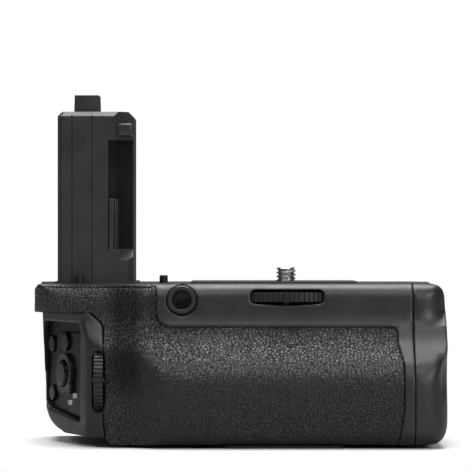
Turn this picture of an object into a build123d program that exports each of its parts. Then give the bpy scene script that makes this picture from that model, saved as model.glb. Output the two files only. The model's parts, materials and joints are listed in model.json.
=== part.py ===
from build123d import *
import os
from math import cos, hypot, pi, radians, sin

os.makedirs("parts", exist_ok=True)

# Lengths are in millimetres. The camera screw's axis is X 0, Y 0 and the standing plane is Z 0.
# The front of the grip faces -Y, its control end is at -X and its battery end at +X.

# Casing
left_reach = 81.5
right_reach = 51.1
deck_front = 22.0
grip_stand = 14.5
back_reach = 34.0
deck_over_bay = 20.9
foot_height = 0.9
wall = 2.2
rubber = 1.0
seam = 0.1
groove = 0.35
overrun = 20.0
deck_top_round = 5.0
deck_back_round = 4.0
deck_left_round = 9.0
deck_right_round = 8.0
block_end_round = 2.6
cap_top_round = 4.0
cap_bottom_round = 6.0
back_corner_round = 10.0
floor_round = 5.5

# Hand grip and the smooth band above it
band_height = 13.5
grip_crown_drop = 14.7
grip_tuck = 1.5
grip_crown_round = 12.0
grip_root = 5.0
grip_corner_round = 10.0
block_height = 9.2

# Control end, as seen from above and from the front
end_step = 0.4
end_face_back = 13.0
end_face_run = 16.8
end_face_depth = 37.5
end_strip_run = 6.0
end_strip_depth = 4.6
finger_valley_run = 8.2
finger_valley_lift = 1.8
finger_valley_out = 12.0
end_lean = 2.4
end_floor_lift = 2.5
end_floor_run = 22.0
end_floor_slope = 2.8
end_corner_round = 8.5
end_edge_round = 1.2
strip_round = 3.0
valley_round = 10.0
pod_depth = 16.0

# Rubber outline on the front, from the screw axis
band_left = 42.0
band_corner = 4.5
rubber_right_top = 35.2
rubber_right_full = 36.9
rubber_right_foot = 35.2
rubber_wrap = 21.0
block_wrap = 8.0
rubber_edge_round = 2.0
pod_edge_top = 63.6
pod_edge = 58.9
pod_edge_foot = 56.6
pod_edge_round = 4.0

# Shell joints
shell_split = 6.0
cap_seam = 40.4

# Deck plate, bottom plate and pads
plate = 1.6
ledge = 1.6
deck_plate_left = 37.0
deck_plate_right = 38.0
deck_plate_front = 15.0
deck_plate_back = 28.0
plate_corner = 3.0
deck_pad_left = 31.0
deck_pad_right = 23.0
deck_pad_front = 13.0
deck_pad_back = 24.0
pad_thickness = 0.5
bottom_plate_left = 44.0
bottom_plate_right = 32.0
bottom_plate_front = 20.0
bottom_plate_back = 24.0
foot_pad_left = 21.2
foot_pad_right = 18.2
foot_pad_front = 31.0
foot_pad_back = 12.0

# Camera screw and its thumb wheel
screw_radius = 3.175
screw_stand = 5.1
screw_pitch = 1.27
thread_depth = 0.55
crest_share = 0.25
journal_radius = 3.0
running_gap = 0.05
screw_hole_gap = 0.5
wheel_radius = 23.5
wheel_thickness = 3.0
wheel_top_gap = 1.2
wheel_rim = 3.0
wheel_web = 1.6
wheel_hub = 6.5
wheel_ribs = 90
rib_depth = 0.45
rib_shares = (0.0, 0.45, 0.55, 0.9)
wheel_slot_width = 23.5
wheel_slot_height = 4.2
wheel_slot_round = 1.2
wheel_slot_bow = 0.5
slot_wall = 1.4
retainer_radius = 5.0
retainer_thickness = 0.8

# Chassis
chassis_thickness = 1.4
chassis_drop = 8.8
chassis_gap = 0.3
post_radius = 2.4
post_left = 32.8
post_right = 33.5
post_front = 10.5
post_back = 23.5
small_screw = 1.0
small_head = 1.9
small_head_depth = 0.9
small_screw_length = 6.0
cross_width = 0.5
cross_depth = 0.45

# Tripod socket
socket_radius = 5.0
socket_bore = 2.65
socket_length = 4.3

# Battery bay, for two packs side by side
pack_width = 38.7
pack_length = 51.7
pack_height = 22.7
pack_gap = 0.2
tray_wall = 1.2
tray_floor = 1.0
tray_side_height = 16.0
slide_gap = 0.3
sleeve_wall = 0.9
bay_lift = 5.0
bay_back_gap = 0.5
sleeve_end_gap = 0.5
finger_window = 18.0
connector_width = 14.0
connector_height = 7.0
connector_depth = 3.0
blade_width = 2.0
blade_height = 6.0
blade_thickness = 0.5
blade_pitch = 5.0
blade_count = 3

# End cap
cap_wall = 2.0
cap_bulkhead = 1.6
lock_radius = 9.0
lock_dish_depth = 1.6
lock_knob_gap = 0.3
lock_plate = 0.5
lock_bar_width = 3.4
lock_shaft_radius = 2.5
lock_height = 24.0
lock_depth = 6.0
latch_length = 8.0
latch_width = 4.0
latch_thickness = 1.2
scoop_radius = 9.0
scoop_height = 22.4
scoop_bite = 1.5
scoop_length = 3.6
scoop_angle = 20.0

# Pins and the front button
pin_radius = 1.35
pin_stand = 2.6
pin_tip_round = 0.4
deck_pin_left = 39.9
deck_pin_front = 8.0
stalk_pin_left = 66.8
stalk_pin_front = 14.6
pin_root = 1.5
pin_flange = 0.4
pin_shoulder = 0.1
front_button_left = 33.8
front_button_height = 47.0
collar_radius = 4.7
collar_stand = 0.9
collar_bore = 2.95
front_button_radius = 2.75
front_button_travel = 0.5
front_button_sink = 0.5
button_gap = 0.15
flange_thickness = 0.7
flange_width = 0.8

# Battery-shaped stalk
stalk_left = 74.2
stalk_width = 24.4
stalk_front = 12.0
stalk_depth = 36.0
stalk_height = 55.6
stalk_wall = 1.6
stalk_edge = 1.6
stalk_split_beyond_head = 1.0
stalk_groove_at = 4.7
stalk_rib_at = 11.1
stalk_groove = 0.35
stalk_notch_width = 8.0
stalk_notch_depth = 5.0
stalk_notch_top = 9.2
stalk_notch_foot = 10.8
stalk_notch_slope = 3.2
stalk_slot_width = 3.1
stalk_slot_depth = 4.5
stalk_slot_length = 19.0
stalk_head_left = 5.3
stalk_head_width = 8.1
stalk_head_depth = 14.0
stalk_head_height = 5.4
stalk_head_front = 3.0
stalk_head_taper = 1.5
stalk_head_root = 2.0
head_strip_width = 1.0
head_strip_length = 7.0
head_strip_stand = 0.15
gasket_width = 1.2
gasket_thickness = 0.5
board_thickness = 1.0

# Control panel on the slanted end face
panel_plate = 1.0
panel_sink = 2.0
pod_floor = 1.2
pod_rim = 1.6
panel_gap = 0.1
panel_back = 18.5
panel_fore = 15.2
panel_top = 39.4
panel_foot = 8.0
panel_round = 3.2
island_stand = 0.7
island_back = 9.0
island_foot = 17.0
island_notch_round = 0.5
island_fore_foot = 8.6
shutter_height = 22.9
lever_radius = 6.4
lever_width = 1.9
lever_stand = 1.2
lever_tab = 1.8
lever_tab_angle = -50.0
shutter_radius = 4.25
shutter_stand = 2.2
shutter_travel = 1.2
shutter_round = 1.0
small_button_travel = 0.4
small_button_stand = 0.9
button_round = 0.4
exposure_height = 33.2
exposure_radius = 3.1
custom_back = 13.7
custom_height = 32.1
custom_radius = 2.7
side_back = 13.4
side_height = 15.9
side_radius = 2.6
end_board_gap = 7.7
dome_radius = 2.0
dome_gap = 0.15

# Control dials
dial_radius = 10.5
dial_width = 2.9
dial_stand = 2.6
dial_height = 21.2
dial_centre = 60.2
dial_ribs = 46
dial_slot_width = 3.9
dial_slot_length = 19.6
shaft_radius = 1.2
shaft_reach = 0.9
bearing_thickness = 0.9
bearing_gap = 0.25
fork_gap = 0.15
rear_dial_radius = 9.0
rear_dial_stand = 2.2
rear_dial_height = 29.5
rear_dial_centre = 71.0
rear_dial_ribs = 40
rear_slot_length = 18.0

# Rear controls
rear_pad_left = 66.0
rear_pad_right = 20.0
rear_pad_top = 17.5
rear_pad_foot = 5.5
rear_pad_round = 5.0
af_left = 60.0
af_radius = 3.4
ael_left = 48.5
ael_radius = 2.9
function_left = 38.0
function_radius = 2.9
rear_button_height = 38.2
rear_button_travel = 0.5
rear_button_stand = 0.9
stick_left = 55.5
stick_height = 26.2
stick_hole = 5.2
stick_pad = 3.6
stick_neck = 1.5
stick_stand = 2.6
stick_pivot = 3.6
gimbal_outer = 5.0
gimbal_width = 1.2
gimbal_thickness = 1.6
gimbal_pin = 0.6
gimbal_pin_length = 1.4
housing_gap = 0.7
stick_housing = 7.4
rear_board_gap = 8.2

# Main board
main_board_left = 59.5
main_board_right = 47.0
main_board_front = 7.0
main_board_back = 27.0
main_board_height = 10.0
board_lug = 4.0

# The deck's height follows the packs that lie under it
tray_foot = bay_lift + sleeve_wall + slide_gap
tray_top = tray_foot + tray_floor + pack_height + pack_gap
bay_top = tray_top + slide_gap + sleeve_wall
deck_height = bay_top + deck_over_bay


def place(x, y, z, part):
    """Move a part made at the origin to a point."""
    return Pos(x, y, z) * part


def span(x0, x1, y0, y1, z0, z1):
    """A box between two opposite corners."""
    return place((x0 + x1) / 2, (y0 + y1) / 2, (z0 + z1) / 2, Box(x1 - x0, y1 - y0, z1 - z0))


def rounded(points, radii):
    """A closed outline with each corner rounded by its own radius."""
    return make_face(FilletPolyline(*points, radius=radii, close=True))


def shrink(face, inset):
    """An outline drawn in by an inset."""
    return face if inset == 0 else offset(face, -inset)


def along_x(face, reach):
    """Extrude an outline drawn in Y and Z both ways along X."""
    return extrude(Plane.YZ * face, amount=reach, both=True)


def along_y(face, reach):
    """Extrude an outline drawn in X and Z both ways along Y."""
    return extrude(Plane.XZ * face, amount=reach, both=True)


def along_z(face, reach):
    """Extrude an outline drawn in X and Y both ways along Z."""
    return extrude(face, amount=reach, both=True)


reach = left_reach + right_reach + overrun
grip_front = deck_front + grip_stand
band_foot = deck_height - band_height
block_foot = deck_height - block_height
end_left = left_reach - end_step
face_back_x = -end_left
face_front_x = face_back_x + end_face_run
face_front_y = end_face_back - end_face_depth
strip_x = face_front_x + end_strip_run
strip_y = face_front_y - end_strip_depth
valley_x = strip_x + finger_valley_run
valley_y = strip_y + finger_valley_lift


def deck_side(inset):
    """The deck's section, in Y and Z."""
    points = [
        (-deck_front, deck_height),
        (-deck_front, foot_height),
        (back_reach, foot_height),
        (back_reach, deck_height),
    ]
    radii = [deck_top_round, floor_round, floor_round, deck_back_round]
    return along_x(shrink(rounded(points, radii), inset), reach)


def grip_side(inset):
    """The hand grip's section, in Y and Z: a slope, a full front and a rounded floor."""
    points = [
        (-deck_front + grip_root, band_foot + grip_root),
        (-grip_front, band_foot - grip_crown_drop),
        (-grip_front + grip_tuck, foot_height),
        (back_reach, foot_height),
        (back_reach, band_foot + grip_root),
    ]
    return along_x(shrink(rounded(points, [0, grip_crown_round, floor_round, floor_round, 0]), inset), reach)


def deck_plan(inset):
    """The deck from above."""
    points = [
        (-left_reach, back_reach),
        (-left_reach, -deck_front),
        (right_reach, -deck_front),
        (right_reach, back_reach),
    ]
    radii = [back_corner_round, deck_left_round, deck_right_round, back_corner_round]
    return along_z(shrink(rounded(points, radii), inset), reach)


def grip_plan(inset):
    """The grip from above, with the slanted control face and the finger valley."""
    points = [
        (-end_left, back_reach),
        (face_back_x, end_face_back),
        (face_front_x, face_front_y),
        (strip_x, strip_y),
        (valley_x, valley_y),
        (valley_x + finger_valley_out, -grip_front),
        (right_reach, -grip_front),
        (right_reach, back_reach),
    ]
    radii = [
        back_corner_round,
        grip_corner_round,
        end_edge_round,
        strip_round,
        valley_round,
        grip_crown_round,
        grip_corner_round,
        back_corner_round,
    ]
    return along_z(shrink(rounded(points, radii), inset), reach)


def block_front(inset):
    """The upper block from the front, in X and Z."""
    points = [
        (-left_reach, deck_height),
        (-left_reach, foot_height),
        (right_reach, foot_height),
        (right_reach, deck_height),
    ]
    radii = [block_end_round, 0, cap_bottom_round, cap_top_round]
    return along_y(shrink(rounded(points, radii), inset), reach)


def lower_front(inset):
    """The casing under the block from the front, in X and Z."""
    points = [
        (-end_left, deck_height),
        (-end_left + end_lean, foot_height + end_floor_lift),
        (-end_left + end_floor_run, foot_height + end_floor_lift),
        (-end_left + end_floor_run + end_floor_slope, foot_height),
        (right_reach, foot_height),
        (right_reach, deck_height),
    ]
    radii = [0, end_corner_round, end_edge_round, end_edge_round, cap_bottom_round, cap_top_round]
    return along_y(shrink(rounded(points, radii), inset), reach)


def envelope(inset):
    """The casing's outer shape, drawn in by an inset."""
    deck = deck_side(inset) & deck_plan(inset)
    above = span(-reach, reach, -reach, reach, block_foot + inset, reach)
    upper = deck & block_front(inset) & above
    plan = grip_plan(inset)
    lower = ((deck & plan) + (grip_side(inset) & plan)) & lower_front(inset)
    return upper + lower


def pod_face(grow):
    """The control end's share of the front, in X and Z."""
    points = [
        (-left_reach - overrun, block_foot),
        (-pod_edge_top, block_foot),
        (-pod_edge, block_foot - pod_edge_round),
        (-pod_edge, end_floor_run / 2),
        (-pod_edge_foot, -overrun),
        (-left_reach - overrun, -overrun),
    ]
    face = rounded(points, [0, pod_edge_round / 2, pod_edge_round, pod_edge_round, 0, 0])
    return face if grow == 0 else offset(face, grow)


def rubber_face():
    """The rubber's outline on the front, in X and Z."""
    top = deck_height - rubber - seam
    points = [
        (-left_reach - overrun, top),
        (-left_reach - overrun, -overrun),
        (rubber_right_foot, -overrun),
        (rubber_right_foot, foot_height + rubber),
        (rubber_right_full, foot_height + floor_round + cap_bottom_round),
        (rubber_right_full, band_foot - grip_crown_round),
        (rubber_right_top, band_foot - floor_round),
        (rubber_right_top, band_foot - groove),
        (-band_left, band_foot - groove),
        (-band_left, top),
    ]
    edge = rubber_edge_round
    return rounded(points, [0, 0, 0, edge, edge, grip_root, grip_root, edge, band_corner, 0])


def rubber_region(grow):
    """The space of the front rubber, grown by a gap for its pocket."""
    face = rubber_face() - pod_face(groove - grow)
    if grow:
        face = offset(face, grow, kind=Kind.INTERSECTION)
    front = along_y(face, reach) & span(-reach, reach, -reach, -rubber_wrap + grow, -reach, reach)
    top = deck_height - rubber - seam + grow
    block = span(-reach, -band_left + grow, -reach, block_wrap + grow, block_foot, top)
    return front + block


def slanted_plane(u, z, stand=0.0):
    """A plane on the slanted face: u runs forward along it, z is a height, stand is outward."""
    length = hypot(end_face_run, end_face_depth)
    forward = Vector(end_face_run / length, -end_face_depth / length, 0)
    outward = Vector(-end_face_depth / length, -end_face_run / length, 0)
    middle = Vector((face_back_x + face_front_x) / 2, (end_face_back + face_front_y) / 2, 0)
    origin = middle + forward * u + outward * stand + Vector(0, 0, z)
    return Plane(origin=origin, x_dir=forward, z_dir=outward)


def on_face(u, z, stand, part):
    """Put a part made at the origin, standing along +Z, on the slanted face."""
    return slanted_plane(u, z, stand).location * part


def post(radius, low, high):
    """A round post on the Z axis between two heights."""
    return Pos(0, 0, (low + high) / 2) * Cylinder(radius, high - low)


def ring(outer, inner, low, high):
    """A ring on the Z axis between two heights."""
    return post(outer, low, high) - post(inner, low - overrun, high + overrun)


def ribbed_wheel(radius, width, ribs, depth):
    """A wheel on the Z axis with straight ribs round its rim, its underside at zero."""
    points = []
    step = 2 * pi / ribs
    for index in range(ribs):
        start = index * step
        for share, drop in zip(rib_shares, (0, 0, depth, depth)):
            angle = start + share * step
            level = radius - drop
            points.append((level * cos(angle), level * sin(angle)))
    return extrude(make_face(Polyline(*points, close=True)), amount=width)


def facing_front(x, y, z, part):
    """Turn a part that stands along +Z to face the front, at a point."""
    return Plane(origin=(x, y, z), x_dir=(1, 0, 0), z_dir=(0, -1, 0)).location * part


def facing_back(x, y, z, part):
    """Turn a part that stands along +Z to face the back, at a point."""
    return Plane(origin=(x, y, z), x_dir=(-1, 0, 0), z_dir=(0, 1, 0)).location * part


def facing_end(x, y, z, part):
    """Turn a part that stands along +Z to face the battery end, at a point."""
    return Plane(origin=(x, y, z), x_dir=(0, 1, 0), z_dir=(1, 0, 0)).location * part


def flanged_button(radius, stand, below, round_edge, dish=0.0):
    """A button standing along +Z: its top above zero, a flange below the cover."""
    body = post(radius, -below, stand)
    body = fillet(body.edges().group_by(Axis.Z)[-1], round_edge)
    flange = post(radius + flange_width, -below, -below + flange_thickness)
    button = body + flange
    if dish:
        ball = (radius * radius + dish * dish) / (2 * dish)
        button -= Pos(0, 0, stand - dish + ball) * Sphere(ball)
    return button


def plate_outline(left, right, front, back, corner, grow=0.0):
    """A rounded plate outline in X and Y, grown by a gap."""
    width = left + right + 2 * grow
    depth = front + back + 2 * grow
    return Pos((right - left) / 2, (back - front) / 2) * RectangleRounded(width, depth, corner + grow)


deck_plate_size = (deck_plate_left, deck_plate_right, deck_plate_front, deck_plate_back, plate_corner)
bottom_plate_size = (
    bottom_plate_left,
    bottom_plate_right,
    bottom_plate_front,
    bottom_plate_back,
    plate_corner,
)
post_places = [(x, y) for x in (-post_left, post_right) for y in (-post_front, post_back)]
chassis_top = deck_height - chassis_drop + chassis_thickness
chassis_foot = deck_height - chassis_drop
wheel_top = deck_height - plate - wheel_top_gap
wheel_foot = wheel_top - wheel_thickness
stalk_top = deck_height + stalk_height
stalk_foot = chassis_top + seam
rear_buttons = [(af_left, af_radius), (ael_left, ael_radius), (function_left, function_radius)]
pin_places = [(-deck_pin_left, -deck_pin_front), (-stalk_pin_left, -stalk_pin_front)]

outer = envelope(0)
inner = envelope(wall)
under_rubber = envelope(rubber + seam)
left_of_cap = span(-reach, cap_seam, -reach, reach, -reach, reach)
pod_space = along_y(pod_face(0), reach) & span(-reach, 0, -reach, pod_depth, -reach, block_foot - seam)
pod_pocket = along_y(pod_face(seam), reach) & span(-reach, 0, -reach, pod_depth + seam, -reach, block_foot)


def dial_slot(x, y0, y1, z, length):
    """A rounded slot through the wall for a dial, upright, between two depths."""
    outline = Pos(x, z) * Rot(0, 0, 90) * SlotOverall(length, dial_slot_width)
    return along_y(outline, reach) & span(-reach, reach, y0, y1, -reach, reach)


def wheel_slot():
    """The slot in the band for the thumb wheel, bowed a little at its lower edge."""
    half = wheel_slot_width / 2
    foot = wheel_foot - wheel_slot_bow
    top = foot + wheel_slot_height
    corners = [(-half, top), (-half, foot), (half, foot), (half, top)]
    face = rounded(corners, [wheel_slot_round for corner in corners])
    bow_radius = (half * half + wheel_slot_bow * wheel_slot_bow) / (2 * wheel_slot_bow)
    bow = Pos(0, foot - wheel_slot_bow + bow_radius) * Circle(bow_radius)
    strip = Pos(0, foot) * Rectangle(wheel_slot_width - 2 * wheel_slot_round, 2 * wheel_slot_bow)
    face += bow & strip
    return along_y(face, reach) & span(-reach, reach, -reach, 0, -reach, reach)


def deck_openings():
    """What is cut through the deck: the plate's seat, the wheel, the stalk and the pins."""
    seat = Pos(0, 0, deck_height - plate) * extrude(plate_outline(*deck_plate_size, seam), amount=overrun)
    window = Pos(0, 0, chassis_top) * extrude(plate_outline(*deck_plate_size, -ledge), amount=overrun)
    wheel = post(wheel_radius + wheel_top_gap, wheel_foot - wheel_top_gap, wheel_top + wheel_top_gap / 2)
    wheel &= span(-reach, reach, -deck_front + slot_wall, reach, -reach, reach)
    stalk = Pos(0, 0, chassis_top) * extrude(stalk_outline(seam), amount=overrun)
    pin = post(pin_radius + pin_flange, -pin_root, overrun)
    pins = [place(x, y, deck_height, pin) for x, y in pin_places]
    return seat + window + wheel + stalk + pins


def stalk_outline(grow):
    """The stalk from above, with bevelled corners, grown by a gap."""
    left, right = -stalk_left - grow, -stalk_left + stalk_width + grow
    front, back = -stalk_front - grow, -stalk_front + stalk_depth + grow
    edge = stalk_edge
    points = [
        (left + edge, front),
        (right - edge, front),
        (right, front + edge),
        (right, back - edge),
        (right - edge, back),
        (left + edge, back),
        (left, back - edge),
        (left, front + edge),
    ]
    return make_face(Polyline(*points, close=True))


def floor_openings():
    """What is cut through the casing's floor: the bottom plate's seat and window."""
    outline = plate_outline(*bottom_plate_size, seam)
    seat = Pos(0, 0, foot_height - overrun) * extrude(outline, amount=overrun + plate)
    window = Pos(0, 0, foot_height) * extrude(plate_outline(*bottom_plate_size, -ledge), amount=wall + plate)
    return seat + window


def front_collar_seat(radius):
    """The round hole in the band for the front button's collar."""
    return facing_front(-front_button_left, -deck_front, front_button_height, post(radius, -overrun, overrun))


def make_front_shell():
    """The front casing, with the smooth band and a pocket for the rubber."""
    part = (outer - inner) & left_of_cap & span(-reach, reach, -reach, shell_split, -reach, reach)
    part -= pod_pocket
    part -= rubber_region(seam) - under_rubber
    part -= deck_openings()
    part -= floor_openings()
    part -= wheel_slot()
    part -= front_collar_seat(collar_radius + seam)
    part -= dial_slot(-dial_centre, -reach, 0, dial_height, dial_slot_length)
    return part


def make_rear_shell():
    """The rear casing, with its control holes and a pocket for the thumb rubber."""
    part = (outer - inner) & left_of_cap & span(-reach, reach, shell_split + seam, reach, -reach, reach)
    part -= pod_pocket
    part -= rubber_region(seam) - under_rubber
    part -= deck_openings()
    part -= floor_openings()
    part -= rear_rubber_region(seam) - under_rubber
    part -= dial_slot(-rear_dial_centre, 0, reach, rear_dial_height, rear_slot_length)
    for left, radius in rear_buttons:
        hole = post(radius + button_gap, -wall * 2, overrun)
        part -= facing_back(-left, back_reach, rear_button_height, hole)
    part -= facing_back(-stick_left, back_reach, stick_height, post(stick_hole, -wall * 2, overrun))
    return part


def rear_rubber_region(grow):
    """The thumb rubber's space on the back."""
    width = rear_pad_left - rear_pad_right + 2 * grow
    height = rear_pad_top - rear_pad_foot + 2 * grow
    middle_x = -(rear_pad_left + rear_pad_right) / 2
    middle_z = (rear_pad_top + rear_pad_foot) / 2
    outline = Pos(middle_x, middle_z) * RectangleRounded(width, height, rear_pad_round)
    return along_y(outline, reach) & span(-reach, reach, 0, reach, -reach, reach)


def make_front_rubber():
    """The rubber over the grip and the upper block."""
    part = (outer - envelope(rubber)) & rubber_region(0) & left_of_cap
    part -= dial_slot(-dial_centre, -reach, 0, dial_height, dial_slot_length)
    return part


def make_pod():
    """The control end's housing, with the panel's seat and the dial's slot."""
    seat = -panel_sink - panel_plate
    cradle = on_face(0, 0, seat - pod_floor, extrude(panel_outline(pod_rim), amount=-seat + overrun))
    part = ((outer - inner) + (cradle & outer)) & pod_space
    part -= on_face(0, 0, seat, extrude(panel_outline(panel_gap), amount=overrun))
    for u, z, radius in panel_holes():
        part -= on_face(u, z, seat - overrun, post(radius + flange_width + button_gap, 0, 2 * overrun))
    part -= dial_slot(-dial_centre, -reach, 0, dial_height, dial_slot_length)
    half = dial_width / 2 + bearing_gap + bearing_thickness + fork_gap
    cheek = shaft_radius + shaft_reach + fork_gap
    inside = dial_radius + bearing_gap + bearing_thickness + fork_gap
    part -= place(-dial_centre, dial_y, dial_height, span(-half, half, -cheek, inside, -cheek, cheek))
    rim = dial_width / 2 + bearing_gap
    well = Rot(0, 90, 0) * post(dial_radius + bearing_gap, -rim, rim)
    return part - place(-dial_centre, dial_y, dial_height, well)


def panel_outline(grow):
    """The control panel's outline on the slanted face, u forward and v up."""
    points = [
        (-panel_back - grow, panel_top + grow),
        (-panel_back - grow, island_foot),
        (-panel_back + panel_round, panel_foot + panel_round),
        (panel_fore + grow, panel_foot - grow),
        (panel_fore + grow, panel_top + grow),
    ]
    return rounded(points, [panel_round / 2, panel_round, panel_round, panel_round / 2, panel_round])


def island_outline():
    """The raised part of the panel under the shutter button."""
    points = [
        (-island_back, panel_top - panel_round),
        (-island_back, island_foot),
        (panel_fore - panel_round / 2, island_fore_foot),
        (panel_fore - panel_round / 2, panel_top - panel_round),
    ]
    return rounded(points, [panel_round, panel_round / 2, island_notch_round, panel_round])


def panel_holes():
    """Each hole in the control panel: u, height and radius."""
    return [
        (0, shutter_height, shutter_radius),
        (0, exposure_height, exposure_radius),
        (-custom_back, custom_height, custom_radius),
        (-side_back, side_height, side_radius),
    ]


def make_panel():
    """The control panel plate, with a raised island and a hole for each button."""
    part = on_face(0, 0, -panel_sink - panel_plate, extrude(panel_outline(0), amount=panel_plate))
    part += on_face(0, 0, -panel_sink, extrude(island_outline(), amount=island_stand))
    for u, z, radius in panel_holes():
        part -= on_face(u, z, -overrun, post(radius + button_gap, 0, 2 * overrun))
    return part


dial_y = strip_y - dial_stand + dial_radius
rear_dial_y = back_reach + rear_dial_stand - rear_dial_radius


def dial(x, y, z, radius, ribs):
    """A control dial with its axis along X."""
    wheel = ribbed_wheel(radius, dial_width, ribs, rib_depth)
    wheel -= post(shaft_radius + running_gap, -overrun, overrun)
    return place(x - dial_width / 2, y, z, Rot(0, 90, 0) * wheel)


def dial_shaft(x, y, z):
    """The fixed shaft a dial turns on."""
    half = dial_width / 2 + bearing_gap + bearing_thickness
    return place(x, y, z, Rot(0, 90, 0) * post(shaft_radius, -half, half))


def dial_fork(x, y, z, radius, toward):
    """A fork of two cheeks and a bridge that holds a dial's shaft."""
    low = dial_width / 2 + bearing_gap
    high = low + bearing_thickness
    cheek_half = shaft_radius + shaft_reach
    bridge = radius + bearing_gap
    body = span(-high, high, -cheek_half, bridge + bearing_thickness, -cheek_half, cheek_half)
    body -= span(-low, low, -cheek_half - overrun, bridge, -overrun, overrun)
    body -= Rot(0, 90, 0) * post(shaft_radius, -overrun, overrun)
    if toward > 0:
        body -= span(-high - overrun, -low, -reach, reach, -reach, reach)
    return place(x, y, z, body if toward > 0 else Rot(0, 0, 180) * body)


def make_deck_plate():
    """The deck plate, with holes for the screw, a pin and its own screws."""
    part = Pos(0, 0, deck_height - plate) * extrude(plate_outline(*deck_plate_size), amount=plate)
    part -= post(screw_radius + screw_hole_gap, 0, deck_height + overrun)
    for x, y in post_places:
        part -= place(x, y, deck_height, post(small_head + seam, -small_head_depth, overrun))
        part -= place(x, y, deck_height, post(small_screw + seam, -overrun, overrun))
    return part


def make_deck_pad():
    """The thin pad on the deck that the camera stands on."""
    outline = plate_outline(deck_pad_left, deck_pad_right, deck_pad_front, deck_pad_back, plate_corner)
    part = Pos(0, 0, deck_height) * extrude(outline, amount=pad_thickness)
    return part - post(screw_radius + screw_hole_gap, 0, deck_height + overrun)


def make_bottom_plate():
    """The bottom plate, with the tripod socket's hole and its screws' holes."""
    part = Pos(0, 0, foot_height) * extrude(plate_outline(*bottom_plate_size), amount=plate)
    part -= post(socket_radius, -overrun, overrun)
    for x, y in bottom_screw_places:
        part -= place(x, y, foot_height, post(small_head + seam, -overrun, small_head_depth))
        part -= place(x, y, foot_height, post(small_screw + seam, -overrun, overrun))
    return part


screw_edge = plate_corner + small_head
bottom_screw_places = [
    (x, y)
    for x in (-bottom_plate_left + screw_edge, bottom_plate_right - screw_edge)
    for y in (-bottom_plate_front + screw_edge, bottom_plate_back - screw_edge)
]


def make_foot_pad():
    """The rubber foot round the tripod socket, a little sunk into the plate."""
    front = bottom_plate_front - plate_corner
    outline = plate_outline(foot_pad_left, foot_pad_right, front, foot_pad_back, plate_corner)
    part = extrude(outline, amount=foot_height)
    return part - post(socket_radius + seam, -overrun, overrun)


def make_front_foot():
    """The rubber ridge under the front of the grip."""
    face = Pos((foot_pad_right - foot_pad_left) / 2, -(foot_pad_front + bottom_plate_front + groove) / 2)
    width = foot_pad_left + foot_pad_right
    depth = foot_pad_front - bottom_plate_front - groove
    return extrude(face * RectangleRounded(width, depth, plate_corner), amount=foot_height)


def make_socket():
    """The threaded tripod insert in the bottom plate."""
    return ring(socket_radius, socket_bore, 0, socket_length)


def small_screws(places, z, up, length):
    """A small cross-head screw at each place, its head flush with a face at height z."""
    body = post(small_screw, -length, -small_head_depth) + post(small_head, -small_head_depth, 0)
    for width, depth in ((cross_width, small_head), (small_head, cross_width)):
        body -= Pos(0, 0, -cross_depth / 2) * Box(width, depth, cross_depth)
    if not up:
        body = Rot(180, 0, 0) * body
    return Compound([place(x, y, z, body) for x, y in places])


def make_chassis():
    """The metal chassis: a plate across the casing with posts down to the bay and up to the deck."""
    plate_space = span(-reach, cap_seam - ledge, -reach, reach, chassis_foot, chassis_top)
    part = envelope(wall + chassis_gap) & plate_space
    for x, y in post_places:
        part += place(x, y, 0, post(post_radius, bay_top + seam, deck_height - plate))
        part -= place(x, y, 0, post(small_screw, deck_height - small_screw_length, deck_height))
    part -= post(journal_radius + running_gap, 0, deck_height)
    well = wall + flange_thickness + front_button_travel + chassis_gap + 2 * seam
    part -= facing_front(-front_button_left, -deck_front, front_button_height,
                         post(front_button_radius + flange_width + chassis_gap, -well, 0))
    return part


def make_wheel():
    """The ribbed thumb wheel that turns the camera screw."""
    part = Pos(0, 0, wheel_foot) * ribbed_wheel(wheel_radius, wheel_thickness, wheel_ribs, rib_depth)
    part -= ring(wheel_radius - wheel_rim, wheel_hub, wheel_foot + wheel_web, wheel_top + overrun)
    return part - post(journal_radius, 0, deck_height)


def make_screw():
    """The camera screw: a threaded end above the deck on a plain journal."""
    base = wheel_top + wheel_top_gap
    tip = deck_height + screw_stand
    part = post(journal_radius, chassis_foot - 2 * retainer_thickness, base)
    first = tip - thread_depth
    turns = int((first - deck_height - pad_thickness) / screw_pitch)
    root = screw_radius - thread_depth
    crest = screw_pitch * crest_share
    profile = [(0, base), (root, base)]
    for turn in range(turns, 0, -1):
        middle = first - (turn - 1 / 2) * screw_pitch
        profile += [(root, middle - screw_pitch / 2)]
        profile += [(screw_radius, middle - crest / 2), (screw_radius, middle + crest / 2)]
    profile += [(root, first), (root - thread_depth, tip), (0, tip)]
    thread = revolve(Plane.XZ * make_face(Polyline(*profile, close=True)), axis=Axis.Z)
    return part + thread


def make_retainer():
    """The ring that holds the screw's journal under the chassis."""
    high = chassis_foot - chassis_gap / 2
    return ring(retainer_radius, journal_radius, high - retainer_thickness, high)


def make_pins():
    """The two locating pins on the deck."""
    pins = []
    for x, y in pin_places:
        pin = post(pin_radius, 0, pin_stand)
        pin = fillet(pin.edges().group_by(Axis.Z)[-1], pin_tip_round)
        pin += post(pin_radius + pin_flange, -pin_root, pin_shoulder)
        pins.append(place(x, y, deck_height, pin))
    return Compound(pins)


def make_collar():
    """The raised collar round the front button."""
    part = ring(collar_radius, collar_bore, -wall, collar_stand)
    part = chamfer(part.edges().filter_by(GeomType.CIRCLE).group_by(Axis.Z)[-1], collar_stand / 2)
    return facing_front(-front_button_left, -deck_front, front_button_height, part)


def make_front_button():
    """The dished front button inside its collar."""
    stand = collar_stand - front_button_sink
    below = wall + flange_thickness + 2 * seam
    part = flanged_button(front_button_radius, stand, below, button_round / 2, button_round)
    return facing_front(-front_button_left, -deck_front, front_button_height, part)


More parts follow.
